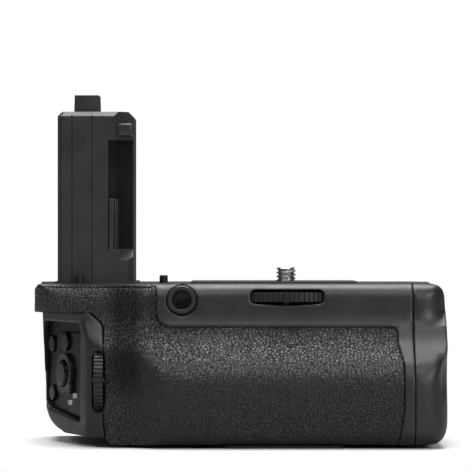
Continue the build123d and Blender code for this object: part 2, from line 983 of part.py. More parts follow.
bay_length = 2 * (pack_width + pack_gap) + 3 * tray_wall
bay_depth = pack_length + pack_gap + 2 * tray_wall
tray_right = cap_seam + seam
tray_left = tray_right - bay_length
bay_middle = back_reach - wall - bay_back_gap - sleeve_wall - slide_gap - bay_depth / 2


def make_sleeve():
    """The fixed sleeve that the battery tray slides in."""
    half = bay_depth / 2 + slide_gap
    left = tray_left - slide_gap - connector_depth
    right = cap_seam - sleeve_end_gap
    body = span(left - sleeve_wall, right, bay_middle - half - sleeve_wall, bay_middle + half + sleeve_wall,
                bay_lift, bay_top)
    body -= span(left, right + overrun, bay_middle - half, bay_middle + half, bay_lift + sleeve_wall,
                 bay_top - sleeve_wall)
    for y in (board_lug - main_board_front, main_board_back - 2 * board_lug):
        lug_top = main_board_height - seam
        body += span(-main_board_right - board_lug, left, y, y + board_lug, lug_top - wall, lug_top)
    for x, y in bottom_screw_places:
        body += place(x, y, 0, post(post_radius, foot_height + plate + seam, bay_lift))
        body -= place(x, y, 0, post(small_screw, foot_height, foot_height + small_screw_length - plate))
    return body


def make_tray():
    """The battery tray: two open bays side by side, with finger windows."""
    half = bay_depth / 2
    front, back = bay_middle - half, bay_middle + half
    body = span(tray_left, tray_right, front, back, tray_foot, tray_foot + tray_side_height)
    for middle in pack_middles():
        low = middle - (pack_width + pack_gap) / 2
        high = middle + (pack_width + pack_gap) / 2
        body -= span(low, high, front + tray_wall, back - tray_wall, tray_foot + tray_floor, tray_top)
        low = middle - finger_window / 2
        high = middle + finger_window / 2
        body -= span(low, high, front - overrun, bay_middle, tray_foot + tray_side_height / 2, tray_top)
    return body


def pack_middles():
    """The X of the middle of each battery bay."""
    pitch = pack_width + pack_gap + tray_wall
    first = tray_left + tray_wall + (pack_width + pack_gap) / 2
    return [first, first + pitch]


def make_tray_contacts():
    """The contact blades on the tray's back wall, a set for each pack."""
    blades = []
    wall_face = bay_middle + bay_depth / 2 - tray_wall
    foot = tray_foot + tray_floor + blade_height / 2
    for middle in pack_middles():
        for index in range(blade_count):
            x = middle + (index - (blade_count - 1) / 2) * blade_pitch
            low, high = x - blade_width / 2, x + blade_width / 2
            blades.append(span(low, high, wall_face - blade_thickness, wall_face, foot, foot + blade_height))
    return Compound(blades)


def make_tray_plug():
    """The plug on the tray's inner end."""
    middle = tray_foot + connector_height
    across, up = connector_width / 2, connector_height / 2
    left = tray_left - connector_depth / 2
    return span(left, tray_left, bay_middle - across, bay_middle + across, middle - up, middle + up)


def make_bay_connector():
    """The socket on the sleeve's inner end that the tray's plug meets."""
    middle = tray_foot + connector_height
    left = tray_left - slide_gap - connector_depth
    right = tray_left - connector_depth / 2 - slide_gap
    across, up = connector_width / 2 + tray_wall, connector_height / 2 + tray_wall
    return span(left, right, bay_middle - across, bay_middle + across, middle - up, middle + up)


def make_end_cap():
    """The end cap on the tray, with its lock's dish, shaft hole and a finger scoop."""
    right_of_seam = span(cap_seam + seam, reach, -reach, reach, -reach, reach)
    hollow = envelope(cap_wall) & span(cap_seam + seam + cap_bulkhead, reach, -reach, reach, -reach, reach)
    part = (outer & right_of_seam) - hollow
    dish = post(lock_radius + lock_knob_gap, -lock_dish_depth, overrun)
    backing = post(lock_radius + wall, -lock_dish_depth - cap_wall, 0)
    shaft = post(lock_shaft_radius + running_gap, -lock_dish_depth - cap_wall - seam, 0)
    part += at_lock(backing) & outer
    part -= at_lock(dish + shaft)
    part += scoop(scoop_radius + cap_wall) & outer & right_of_seam
    return part - scoop(scoop_radius)


def at_lock(part):
    """Put a part that stands along +Z on the end cap at the lock's axis."""
    return facing_end(right_reach, lock_depth, lock_height, part)


def scoop(radius):
    """A capsule that bites into the cap's front corner, for the finger scoop."""
    away = grip_corner_round - scoop_bite + scoop_radius
    x = right_reach - grip_corner_round + away * cos(radians(scoop_angle))
    y = -grip_front + grip_corner_round - away * sin(radians(scoop_angle))
    body = Cylinder(radius, scoop_length)
    for end in (-1, 1):
        body += Pos(0, 0, end * scoop_length / 2) * Sphere(radius)
    return place(x, y, scoop_height, body)


latch_foot = -(right_reach - cap_seam - cap_bulkhead - chassis_gap)


def make_lock_knob():
    """The round lock knob with a grip bar across it."""
    low = -lock_dish_depth + seam
    knob = post(lock_radius, low, low + lock_plate)
    bar = Pos(0, 0, low) * extrude(SlotOverall(2 * lock_radius - lock_knob_gap, lock_bar_width),
                                   amount=lock_dish_depth - 2 * seam)
    shaft = post(lock_shaft_radius, latch_foot + latch_thickness, low)
    return at_lock(knob + bar + shaft)


def make_lock_latch():
    """The latch on the inner end of the lock's shaft, inside the cap."""
    outline = SlotOverall(2 * latch_length, latch_width)
    return at_lock(Pos(0, 0, latch_foot) * extrude(outline, amount=latch_thickness))


def stalk_solid():
    """The stalk's full outer shape, with its notch, slot and marks."""
    body = Pos(0, 0, stalk_foot) * extrude(stalk_outline(0), amount=stalk_top - stalk_foot)
    body = chamfer(body.edges().group_by(Axis.Z)[-1], stalk_edge - seam)
    right = -stalk_left + stalk_width
    front = -stalk_front
    top = stalk_top - stalk_notch_top
    foot = deck_height + stalk_notch_foot
    notch = right - stalk_notch_width
    body -= span(notch, right + overrun, front - overrun, front + stalk_notch_depth, foot, top)
    slope = [(foot, front), (foot - stalk_notch_slope, front), (foot, front + stalk_notch_depth)]
    wedge = make_face(Polyline(*[(y, z) for z, y in slope], close=True))
    body -= Pos(right - stalk_notch_width / 2 + overrun / 2, 0, 0) * along_x(wedge, overrun / 2)
    slot_back = front + stalk_notch_depth + stalk_slot_depth
    body -= span(notch, notch + stalk_slot_width, front, slot_back, top - stalk_slot_length, top)
    for at in (stalk_groove_at, stalk_rib_at):
        low, high = -stalk_left + at - stalk_groove / 2, -stalk_left + at + stalk_groove / 2
        foot = deck_height + seam
        body -= span(low, high, front - overrun, front + stalk_groove, foot, stalk_top + overrun)
    return body


def stalk_core():
    """The hollow inside the stalk."""
    height = stalk_top - stalk_foot - stalk_wall
    core = Pos(0, 0, stalk_foot - seam) * extrude(stalk_outline(-stalk_wall), amount=height)
    right = -stalk_left + stalk_width
    front = -stalk_front
    back_off = stalk_notch_depth + stalk_slot_depth + stalk_wall
    core -= span(right - stalk_notch_width - stalk_wall, right + overrun, front - overrun, front + back_off,
                 deck_height, stalk_top + overrun)
    return core


head_y = -stalk_front + stalk_head_front + stalk_head_depth / 2
stalk_split = head_y + stalk_head_depth / 2 + stalk_split_beyond_head


def make_stalk_half(front_half):
    """One half of the stalk's casing, split front from back."""
    body = stalk_solid() - stalk_core()
    head = place(-stalk_left + stalk_head_left + stalk_head_width / 2, head_y, stalk_top,
                 Box(stalk_head_width, stalk_head_depth, 2 * stalk_head_root))
    body -= head
    if front_half:
        return body & span(-reach, 0, -reach, stalk_split, 0, stalk_top + overrun)
    return body & span(-reach, 0, stalk_split + seam, reach, 0, stalk_top + overrun)


def make_stalk_head():
    """The contact head on top of the stalk, drawn in towards its top."""
    x = -stalk_left + stalk_head_left + stalk_head_width / 2
    foot = Plane(origin=(x, head_y, stalk_top)) * Rectangle(stalk_head_width, stalk_head_depth)
    head = extrude(foot, amount=stalk_head_height, taper=stalk_head_taper)
    root = place(x, head_y, stalk_top - stalk_head_root / 2,
                 Box(stalk_head_width - seam, stalk_head_depth - seam, stalk_head_root))
    return head + root


def make_stalk_contacts():
    """The contact strips on the back of the stalk's head."""
    x = -stalk_left + stalk_head_left + stalk_head_width / 2
    face = stalk_top + stalk_head_height
    front, back = head_y - head_strip_length / 2, head_y + head_strip_length / 2
    strips = []
    for index in range(blade_count):
        low = x + (index - (blade_count - 1) / 2) * blade_width - head_strip_width / 2
        strips.append(span(low, low + head_strip_width, front, back, face, face + head_strip_stand))
    return Compound(strips)


def make_stalk_board():
    """The circuit board that stands in the stalk."""
    left = -stalk_left + stalk_wall + seam
    right = -stalk_left + stalk_width - stalk_notch_width - stalk_wall - seam
    middle = stalk_split
    return span(left, right, middle - board_thickness / 2, middle + board_thickness / 2, stalk_foot,
                stalk_top - stalk_head_root - stalk_wall)


def make_gasket():
    """The sealing frame round the stalk on the deck."""
    outline = stalk_outline(gasket_width) - stalk_outline(seam)
    part = Pos(0, 0, deck_height) * extrude(outline, amount=gasket_thickness)
    for x, y in pin_places[1:]:
        part -= place(x, y, deck_height, post(pin_radius + pin_flange + seam, -overrun, overrun))
    return part


def make_lever():
    """The power lever: a ring round the shutter button with a thumb tab."""
    base = -panel_sink + island_stand + seam
    body = ring(lever_radius, lever_radius - lever_width, base, base + lever_stand)
    tab = Rot(0, 0, lever_tab_angle) * (Pos(lever_radius, 0, 0) * post(lever_tab, base, base + lever_stand))
    body = body + tab - post(lever_radius - lever_width, base - overrun, base + overrun)
    return on_face(0, shutter_height, 0, body)


def make_shutter():
    """The domed shutter button."""
    below = panel_sink + panel_plate + seam + flange_thickness
    body = flanged_button(shutter_radius, -panel_sink + island_stand + shutter_stand, below, shutter_round)
    return on_face(0, shutter_height, 0, body)


def panel_button(u, z, radius, raised):
    """A small button on the control panel."""
    below = panel_sink + panel_plate + seam + flange_thickness
    base = -panel_sink + (island_stand if raised else 0)
    return on_face(u, z, 0, flanged_button(radius, base + small_button_stand, below, button_round))


def rear_button(left, radius):
    """A small round button on the back."""
    below = wall + seam + flange_thickness
    body = flanged_button(radius, rear_button_stand, below, button_round, button_round / 2)
    return facing_back(-left, back_reach, rear_button_height, body)


def make_gimbal():
    """The gimbal ring under the stick, which rocks about X on its two pins."""
    half = gimbal_thickness / 2
    body = ring(gimbal_outer, gimbal_outer - gimbal_width, -half, half)
    bore = Rot(90, 0, 0) * Cylinder(gimbal_pin + running_gap, 2 * gimbal_outer + gimbal_width)
    body -= bore
    for side in (-1, 1):
        pin = Rot(0, 90, 0) * Cylinder(gimbal_pin, gimbal_pin_length)
        body += Pos(side * (gimbal_outer + gimbal_pin_length / 2 - seam), 0, 0) * pin
    return facing_back(-stick_left, back_reach - stick_pivot, stick_height, body)


def make_stick_stem():
    """The stick's stem and its cross pin, which rocks about Z inside the gimbal."""
    half = gimbal_thickness / 2
    stem = post(stick_neck, -half, stick_pivot + stick_stand / 2)
    hub = Rot(90, 0, 0) * Cylinder(gimbal_pin, 2 * gimbal_outer - gimbal_width / 2)
    return facing_back(-stick_left, back_reach - stick_pivot, stick_height, stem + hub)


def make_stick():
    """The stick's cap, which sits on its stem."""
    cap = post(stick_pad, stick_pivot + stick_stand / 2, stick_pivot + stick_stand)
    cap = fillet(cap.edges().group_by(Axis.Z)[-1], button_round)
    return facing_back(-stick_left, back_reach - stick_pivot, stick_height, cap)


def make_stick_housing():
    """The fixed housing that carries the gimbal's pins."""
    half = gimbal_thickness / 2
    top = stick_pivot - wall - seam
    body = ring(stick_housing, gimbal_outer + housing_gap, -half - gimbal_width, top)
    body -= Rot(0, 90, 0) * Cylinder(gimbal_pin + running_gap, 2 * stick_housing + seam)
    return facing_back(-stick_left, back_reach - stick_pivot, stick_height, body)


def make_panel_board():
    """The circuit board behind the control panel, with a dome switch under each button."""
    back, fore = -panel_back + wall, lever_radius
    low, high = panel_foot + wall, panel_top - wall
    outline = Pos((back + fore) / 2, (low + high) / 2) * Rectangle(fore - back, high - low)
    return on_face(0, 0, -end_board_gap - board_thickness, extrude(outline, amount=board_thickness))


def make_panel_domes():
    """The dome switches on the panel's board, a little short of each button."""
    domes = []
    for u, z, radius in panel_holes():
        travel = shutter_travel if radius == shutter_radius else small_button_travel
        high = -(panel_sink + panel_plate + seam + flange_thickness) - travel - dome_gap
        domes.append(on_face(u, z, 0, post(dome_radius, -end_board_gap, high)))
    return Compound(domes)


def make_rear_board():
    """The circuit board behind the rear controls."""
    y = back_reach - rear_board_gap
    left = -af_left - af_radius
    sleeve_end = tray_left - slide_gap - connector_depth - sleeve_wall - slide_gap
    foot = bay_top + slide_gap
    upper = span(left, -function_left + function_radius, y - board_thickness, y, foot, chassis_foot - seam)
    return upper + span(left, sleeve_end, y - board_thickness, y, stick_height - stick_housing, foot)


def make_rear_domes():
    """The dome switches under the rear buttons."""
    domes = []
    high = -(wall + seam + flange_thickness) - rear_button_travel - dome_gap
    for left, radius in rear_buttons:
        domes.append(facing_back(-left, back_reach, rear_button_height - dome_radius / 2,
                                 post(dome_radius, -rear_board_gap, high)))
    return Compound(domes)


def make_main_board():
    """The main circuit board at the control end."""
    top = main_board_height + board_thickness
    left, right = -main_board_left, -main_board_right
    return span(left, right, -main_board_front, main_board_back, main_board_height, top)


def build_all():
    """Every piece of the grip by its node name."""
    nodes = {
        "front_shell": make_front_shell(),
        "rear_shell": make_rear_shell(),
        "control_pod": make_pod(),
        "control_panel": make_panel(),
        "front_rubber": make_front_rubber(),
        "rear_rubber": (outer - envelope(rubber)) & rear_rubber_region(-groove),
        "deck_plate": make_deck_plate(),
        "deck_pad": make_deck_pad(),
        "bottom_plate": make_bottom_plate(),
        "foot_pad": make_foot_pad(),
        "front_foot": make_front_foot(),
        "tripod_socket": make_socket(),
        "chassis": make_chassis(),
        "battery_sleeve": make_sleeve(),
        "bay_connector": make_bay_connector(),
        "deck_screws": small_screws(post_places, deck_height, True, small_screw_length),
        "bottom_screws": small_screws(bottom_screw_places, foot_height, False, small_screw_length - plate),
        "locating_pins": make_pins(),
        "button_collar": make_collar(),
        "front_button": make_front_button(),
        "thumb_wheel": make_wheel(),
        "camera_screw": make_screw(),
        "screw_retainer": make_retainer(),
        "stalk_front": make_stalk_half(True),
        "stalk_rear": make_stalk_half(False),
        "stalk_head": make_stalk_head(),
        "stalk_contacts": make_stalk_contacts(),
        "stalk_board": make_stalk_board(),
        "stalk_gasket": make_gasket(),
        "power_lever": make_lever(),
        "shutter_button": make_shutter(),
        "exposure_button": panel_button(0, exposure_height, exposure_radius, True),
        "custom_button": panel_button(-custom_back, custom_height, custom_radius, False),
        "side_button": panel_button(-side_back, side_height, side_radius, False),
        "panel_board": make_panel_board(),
        "panel_domes": make_panel_domes(),
        "front_dial": dial(-dial_centre, dial_y, dial_height, dial_radius, dial_ribs),
        "front_dial_shaft": dial_shaft(-dial_centre, dial_y, dial_height),
        "front_dial_fork": dial_fork(-dial_centre, dial_y, dial_height, dial_radius, 1),
        "rear_dial": dial(-rear_dial_centre, rear_dial_y, rear_dial_height, rear_dial_radius, rear_dial_ribs),
        "rear_dial_shaft": dial_shaft(-rear_dial_centre, rear_dial_y, rear_dial_height),
        "rear_dial_fork": dial_fork(-rear_dial_centre, rear_dial_y, rear_dial_height, rear_dial_radius, -1),
        "af_button": rear_button(af_left, af_radius),
        "ael_button": rear_button(ael_left, ael_radius),
        "function_button": rear_button(function_left, function_radius),
        "stick_gimbal": make_gimbal(),
        "stick": make_stick(),
        "stick_stem": make_stick_stem(),
        "stick_housing": make_stick_housing(),
        "rear_board": make_rear_board(),
        "rear_domes": make_rear_domes(),
        "main_board": make_main_board(),
        "battery_tray": make_tray(),
        "tray_contacts": make_tray_contacts(),
        "tray_plug": make_tray_plug(),
        "end_cap": make_end_cap(),
        "lock_knob": make_lock_knob(),
        "lock_latch": make_lock_latch(),
    }
    return nodes


for name, part in build_all().items():
    export_step(part, os.path.join("parts", name + ".step"))
    print(name, "solids", len(part.solids()), "volume", round(part.volume, 1))
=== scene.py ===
"""The looks of the camera battery grip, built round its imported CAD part."""

import json
import logging
import math
from dataclasses import dataclass
from enum import Enum

import bmesh
import bpy
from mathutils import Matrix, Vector, kdtree

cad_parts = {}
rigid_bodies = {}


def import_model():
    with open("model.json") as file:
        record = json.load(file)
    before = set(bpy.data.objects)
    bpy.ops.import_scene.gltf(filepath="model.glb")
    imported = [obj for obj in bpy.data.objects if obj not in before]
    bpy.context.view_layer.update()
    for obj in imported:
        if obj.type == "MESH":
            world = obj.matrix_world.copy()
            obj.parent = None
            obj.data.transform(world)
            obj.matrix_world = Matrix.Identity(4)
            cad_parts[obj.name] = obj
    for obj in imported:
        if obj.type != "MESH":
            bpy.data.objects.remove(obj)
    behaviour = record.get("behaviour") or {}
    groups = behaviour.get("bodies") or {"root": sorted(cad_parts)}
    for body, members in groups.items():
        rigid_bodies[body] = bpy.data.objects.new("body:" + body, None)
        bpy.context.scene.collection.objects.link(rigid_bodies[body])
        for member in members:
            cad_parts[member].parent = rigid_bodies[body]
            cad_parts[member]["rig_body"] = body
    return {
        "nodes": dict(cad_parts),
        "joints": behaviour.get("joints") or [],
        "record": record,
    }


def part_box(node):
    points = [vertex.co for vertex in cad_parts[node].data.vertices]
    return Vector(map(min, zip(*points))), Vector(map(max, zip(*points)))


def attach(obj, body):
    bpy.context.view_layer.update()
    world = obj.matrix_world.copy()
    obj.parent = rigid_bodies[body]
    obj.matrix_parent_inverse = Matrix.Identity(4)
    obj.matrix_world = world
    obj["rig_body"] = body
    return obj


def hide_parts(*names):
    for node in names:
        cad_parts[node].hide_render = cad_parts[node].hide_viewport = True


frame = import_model()

LOG = logging.getLogger("grip")
MM = 0.001
WHITE = (1.0, 1.0, 1.0, 1.0)
UNIT = (0.0, 1.0)

Socket = bpy.types.NodeSocket
Colour = tuple[float, float, float]
Span = tuple[float, float]


class Coat(Enum):
    """How a finish takes the light on its outer skin."""

    BARE = 0.0
    SATIN = 0.05


class Graph:
    """The nodes of one material or world, added and joined a line at a time."""

    def __init__(self, tree: bpy.types.NodeTree) -> None:
        """Hold the node tree that nodes are added to."""
        self.tree = tree

    def add(self, kind: str, **settings: object) -> bpy.types.Node:
        """Add a node.

        Args:
            kind: the node's Blender type.
            settings: its own options, such as its operation.

        Returns:
            The new node.
        """
        node = self.tree.nodes.new(kind)
        for key, value in settings.items():
            setattr(node, key, value)
        return node

    def join(self, source: Socket, target: Socket) -> None:
        """Join an output to an input."""
        self.tree.links.new(source, target)

    def feed(self, target: Socket, source: Socket | float) -> None:
        """Fill an input with another node's output or with a number.

        Args:
            target: the input.
            source: the output or the number.
        """
        if isinstance(source, Socket):
            self.join(source, target)
        else:
            target.default_value = source

    def math(self, operation: str, *terms: Socket | float) -> Socket:
        """Work out one value from others.

        Args:
            operation: what is done with them.
            terms: the sockets or numbers, in the node's order.

        Returns:
            The value.
        """
        node = self.add("ShaderNodeMath", operation=operation)
        for place, term in enumerate(terms):
            self.feed(node.inputs[place], term)
        return node.outputs["Value"]

    def remap(
        self, value: Socket, source: Span, target: Span, soft: bool = False, clamp: bool = True
    ) -> Socket:
        """Carry a value from one span into another.

        Args:
            value: the value.
            source: the span that it comes from.
            target: the span that it goes to.
            soft: whether it starts and ends gently.
            clamp: whether it is held inside the target span.

        Returns:
            The carried value.
        """
        curve = "SMOOTHSTEP" if soft else "LINEAR"
        node = self.add("ShaderNodeMapRange", interpolation_type=curve, clamp=clamp)
        node.inputs["From Min"].default_value, node.inputs["From Max"].default_value = source
        node.inputs["To Min"].default_value, node.inputs["To Max"].default_value = target
        self.join(value, node.inputs["Value"])
        return node.outputs["Result"]

    def tint(self, share: Socket, first: Colour, second: Colour) -> Socket:
        """Mix two colours by a value.

        Args:
            share: how much of the second colour shows.
            first: the colour at 0.
            second: the colour at 1.

        Returns:
            The mixed colour.
        """
        node = self.add("ShaderNodeMix", data_type="RGBA")
        start, end = (socket for socket in node.inputs if socket.type == "RGBA")
        start.default_value = (*first, 1.0)
        end.default_value = (*second, 1.0)
        self.join(share, node.inputs[0])
        return next(socket for socket in node.outputs if socket.type == "RGBA")


class Shader(Graph):
    """A Principled material whose patterns lie on the piece's own axes."""

    middle: Span = (0.3, 0.7)
    bevel_samples: int = 6

    def __init__(self, name: str) -> None:
        """Start an empty Principled material.

        Args:
            name: what the finish is called.
        """
        self.material = bpy.data.materials.new(name)
        self.material.use_nodes = True
        super().__init__(self.material.node_tree)
        self.surface = self.tree.nodes["Principled BSDF"]
        self.place = self.add("ShaderNodeTexCoord").outputs["Object"]

    def set(self, name: str, source: Socket | float) -> None:
        """Fill one named input of the surface with an output or a number."""
        self.feed(self.surface.inputs[name], source)

    def noise(self, size: float, detail: float = 3.0) -> Socket:
        """Noise whose blotches are about size metres wide.

        Args:
            size: the width of a blotch.
            detail: how many finer layers it has.

        Returns:
            The noise's value.
        """
        node = self.add("ShaderNodeTexNoise")
        node.inputs["Scale"].default_value = 1 / size
        node.inputs["Detail"].default_value = detail
        self.join(self.place, node.inputs["Vector"])
        return node.outputs["Fac"]

    def spread(self, value: Socket, low: float, high: float) -> Socket:
        """Stretch the middle of a noise to run from low to high."""
        return self.remap(value, self.middle, (low, high))

    def rounded_edges(self, radius: float) -> Socket:
        """A normal that rolls over every edge, as a moulded edge does.

        Args:
            radius: how far from the edge the roll starts.

        Returns:
            The rolled normal.
        """
        node = self.add("ShaderNodeBevel", samples=self.bevel_samples)
        node.inputs["Radius"].default_value = radius
        return node.outputs["Normal"]

    def bump(self, height: Socket, depth: float, under: Socket | None = None) -> Socket:
        """Raise the surface by a value.

        Args:
            height: the pattern, 0 low and 1 high.
            depth: how far 0 lies under 1.
            under: the normal that it is laid on.

        Returns:
            The raised normal.
        """
        node = self.add("ShaderNodeBump")
        node.inputs["Strength"].default_value = 1.0
        node.inputs["Distance"].default_value = depth
        self.join(height, node.inputs["Height"])
        if under is not None:
            self.join(under, node.inputs["Normal"])
        return node.outputs["Normal"]


def times(colour: Colour, factor: float, lift: float = 0.0) -> Colour:
    """Multiply each part of a colour by a factor and then lift it."""
    return tuple(part * factor + lift for part in colour)


@dataclass(frozen=True)
class Moulding:
    """Hard moulded plastic with a fine spark-eroded texture."""

    name: str
    colour: Colour
    roughness: float
    grain: float = 0.35 * MM
    relief: float = 0.02 * MM
    edge: float = 0.25 * MM
    coat: Coat = Coat.BARE
    shine: float = 0.5
    pale: Span = (1.35, 0.002)
    cloud: float = 9 * MM
    wear: float = 5 * MM
    wear_range: Span = (-0.05, 0.06)
    coat_roughness: float = 0.12

    def material(self) -> bpy.types.Material:
        """Make the plastic's material.

        Returns:
            The material.
        """
        shader = Shader(self.name)
        clouds = shader.spread(shader.noise(self.cloud), *UNIT)
        shader.set("Base Color", shader.tint(clouds, self.colour, times(self.colour, *self.pale)))
        rough = (self.roughness + part for part in self.wear_range)
        shader.set("Roughness", shader.spread(shader.noise(self.wear), *rough))
        under = shader.rounded_edges(self.edge)
        shader.set("Normal", shader.bump(shader.noise(self.grain, 2.0), self.relief, under))
        shader.set("Coat Weight", self.coat.value)
        shader.set("Coat Roughness", self.coat_roughness)
        shader.set("Specular IOR Level", self.shine)
        return shader.material


@dataclass(frozen=True)
class Pebbled:
    """Soft rubber pressed with a leather-like pebble grain, with painted shade in the grooves
    between pebbles, under the band and in the finger valley.
    """

    name: str
    colour: Colour
    roughness: float
    pebble: float = 1.0 * MM
    relief: float = 0.3 * MM
    # painted shade in the grooves: the specular level there falls to this share
    painted_groove_shade: float = 0.66
    groove: float = 0.16
    wander: float = 0.6
    warp: float = 1.15
    # painted shade in the grooves: base colour factors for groove and crest
    painted_groove_albedo: Span = (0.45, 1.35)
    # specular level outside and inside the painted shade under the band and in the finger valley
    sheen: Span = (0.6, 0.14)
    wear: float = 4 * MM
    wear_range: Span = (-0.04, 0.06)
    skin: float = 0.3 * MM
    skin_relief: float = 0.02 * MM
    swell: float = 3.0 * MM
    swell_relief: float = 0.35 * MM
    # where the painted shade lies: under the band and in the finger valley
    under_band: Span = (36.2 * MM, 39.0 * MM)
    band_start: Span = (-46.0 * MM, -40.0 * MM)
    valley: float = -51.8 * MM
    valley_width: Span = (8.0 * MM, 2.2 * MM)
    valley_foot: Span = (12.0 * MM, 24.0 * MM)

    def painted_shade(self, shader: Shader) -> Socket:
        """Painted shade: the places under the band and in the finger valley that stand in shade,
        where the specular level is lowered.

        Args:
            shader: the shader that it is added to.

        Returns:
            The share of painted shade, from 0 to 1.
        """
        split = shader.add("ShaderNodeSeparateXYZ")
        shader.join(shader.place, split.inputs["Vector"])
        along, up = split.outputs["X"], split.outputs["Z"]
        under = shader.remap(up, self.under_band, UNIT, soft=True)
        block = shader.remap(along, self.band_start, UNIT, soft=True)
        band = shader.math("MULTIPLY", under, block)
        away = shader.math("ABSOLUTE", shader.math("SUBTRACT", along, self.valley))
        near = shader.remap(away, self.valley_width, UNIT, soft=True)
        foot = shader.remap(up, self.valley_foot, UNIT, soft=True)
        return shader.math("MAXIMUM", band, shader.math("MULTIPLY", near, foot))

    def pebbles(self, shader: Shader) -> Socket:
        """Draw the pebbles with narrow wandering grooves between them.

        Args:
            shader: the shader that they are added to.

        Returns:
            Their height, 0 in a groove and 1 on a crown.
        """
        wander = shader.add("ShaderNodeTexNoise")
        wander.inputs["Scale"].default_value = self.wander / self.pebble
        shader.join(shader.place, wander.inputs["Vector"])
        warp = shader.add("ShaderNodeVectorMath", operation="MULTIPLY_ADD")
        warp.inputs[1].default_value = (self.warp * self.pebble,) * 3
        shader.join(wander.outputs["Color"], warp.inputs[0])
        shader.join(shader.place, warp.inputs[2])
        cells = shader.add("ShaderNodeTexVoronoi", feature="DISTANCE_TO_EDGE")
        cells.inputs["Scale"].default_value = 1 / self.pebble
        shader.join(warp.outputs["Vector"], cells.inputs["Vector"])
        return shader.remap(cells.outputs["Distance"], (0.0, self.groove), UNIT, soft=True)

    def material(self) -> bpy.types.Material:
        """Make the rubber's material.

        Returns:
            The material.
        """
        shader = Shader(self.name)
        # painted shade: the specular level falls under the band and in the finger valley
        sheen = shader.remap(self.painted_shade(shader), UNIT, self.sheen)
        height = self.pebbles(shader)
        # painted shade: the grooves between pebbles get a lower specular level and a darker base
        # colour than the crests
        painted_groove_shade = shader.remap(height, UNIT, (self.painted_groove_shade, 1.0))
        shader.set("Specular IOR Level", shader.math("MULTIPLY", painted_groove_shade, sheen))
        low, crest = (times(self.colour, factor) for factor in self.painted_groove_albedo)
        shader.set("Base Color", shader.tint(height, low, crest))
        rough = (self.roughness + part for part in self.wear_range)
        shader.set("Roughness", shader.spread(shader.noise(self.wear), *rough))
        skin = shader.bump(shader.noise(self.skin), self.skin_relief)
        swell = shader.bump(shader.noise(self.swell, 2.0), self.swell_relief, skin)
        shader.set("Normal", shader.bump(height, self.relief, swell))
        return shader.material


@dataclass(frozen=True)
class Metal:
    """Machined or pressed metal with fine tool marks."""

    name: str
    colour: Colour
    roughness: float
    metallic: float = 1.0
    mark: float = 0.75 * MM
    mark_relief: float = 0.008 * MM
    mark_stretch: tuple[float, float, float] = (1.0, 1.0, 9.0)
    edge: float = 0.12 * MM
    dulling: float = 0.82
    cloud: float = 3 * MM
    wear: float = 1.5 * MM
    wear_range: Span = (-0.05, 0.08)

    def material(self) -> bpy.types.Material:
        """Make the metal's material.

        Returns:
            The material.
        """
        shader = Shader(self.name)
        clouds = shader.spread(shader.noise(self.cloud), *UNIT)
        shader.set("Base Color", shader.tint(clouds, self.colour, times(self.colour, self.dulling)))
        rough = (self.roughness + part for part in self.wear_range)
        shader.set("Roughness", shader.spread(shader.noise(self.wear), *rough))
        stretch = shader.add("ShaderNodeMapping")
        stretch.inputs["Scale"].default_value = self.mark_stretch
        shader.join(shader.place, stretch.inputs["Vector"])
        marks = shader.add("ShaderNodeTexNoise")
        marks.inputs["Scale"].default_value = 1 / self.mark
        shader.join(stretch.outputs["Vector"], marks.inputs["Vector"])
        under = shader.rounded_edges(self.edge)
        shader.set("Normal", shader.bump(marks.outputs["Fac"], self.mark_relief, under))
        shader.set("Metallic", self.metallic)
        return shader.material


@dataclass(frozen=True)
class CircuitBoard:
    """A solder-masked board whose copper shows through as paler tracks."""

    name: str
    colour: Colour
    roughness: float = 0.35
    track: float = 1.1 * MM
    cells_per_track: float = 0.3
    ripple: float = 0.09
    pale: Span = (1.6, 0.01)
    relief: float = 0.03 * MM

    def material(self) -> bpy.types.Material:
        """Make the board's material.

        Returns:
            The material.
        """
        shader = Shader(self.name)
        cells = shader.add("ShaderNodeTexVoronoi", feature="F1", distance="MANHATTAN")
        cells.inputs["Scale"].default_value = self.cells_per_track / self.track
        shader.join(shader.place, cells.inputs["Vector"])
        waves = shader.math("PINGPONG", cells.outputs["Distance"], self.ripple)
        tracks = shader.math("GREATER_THAN", waves, self.ripple / 2)
        shader.set("Base Color", shader.tint(tracks, self.colour, times(self.colour, *self.pale)))
        shader.set("Normal", shader.bump(tracks, self.relief))
        shader.set("Roughness", self.roughness)
        return shader.material


@dataclass(frozen=True)
class Ink:
    """A fine printed mark."""

    name: str
    colour: Colour
    roughness: float = 0.55
    wear: float = 0.5 * MM
    dulling: float = 0.8

    def material(self) -> bpy.types.Material:
        """Make the ink's material.

        Returns:
            The material.
        """
        shader = Shader(self.name)
        worn = shader.spread(shader.noise(self.wear), *UNIT)
        shader.set("Base Color", shader.tint(worn, self.colour, times(self.colour, self.dulling)))
        shader.set("Roughness", self.roughness)
        return shader.material


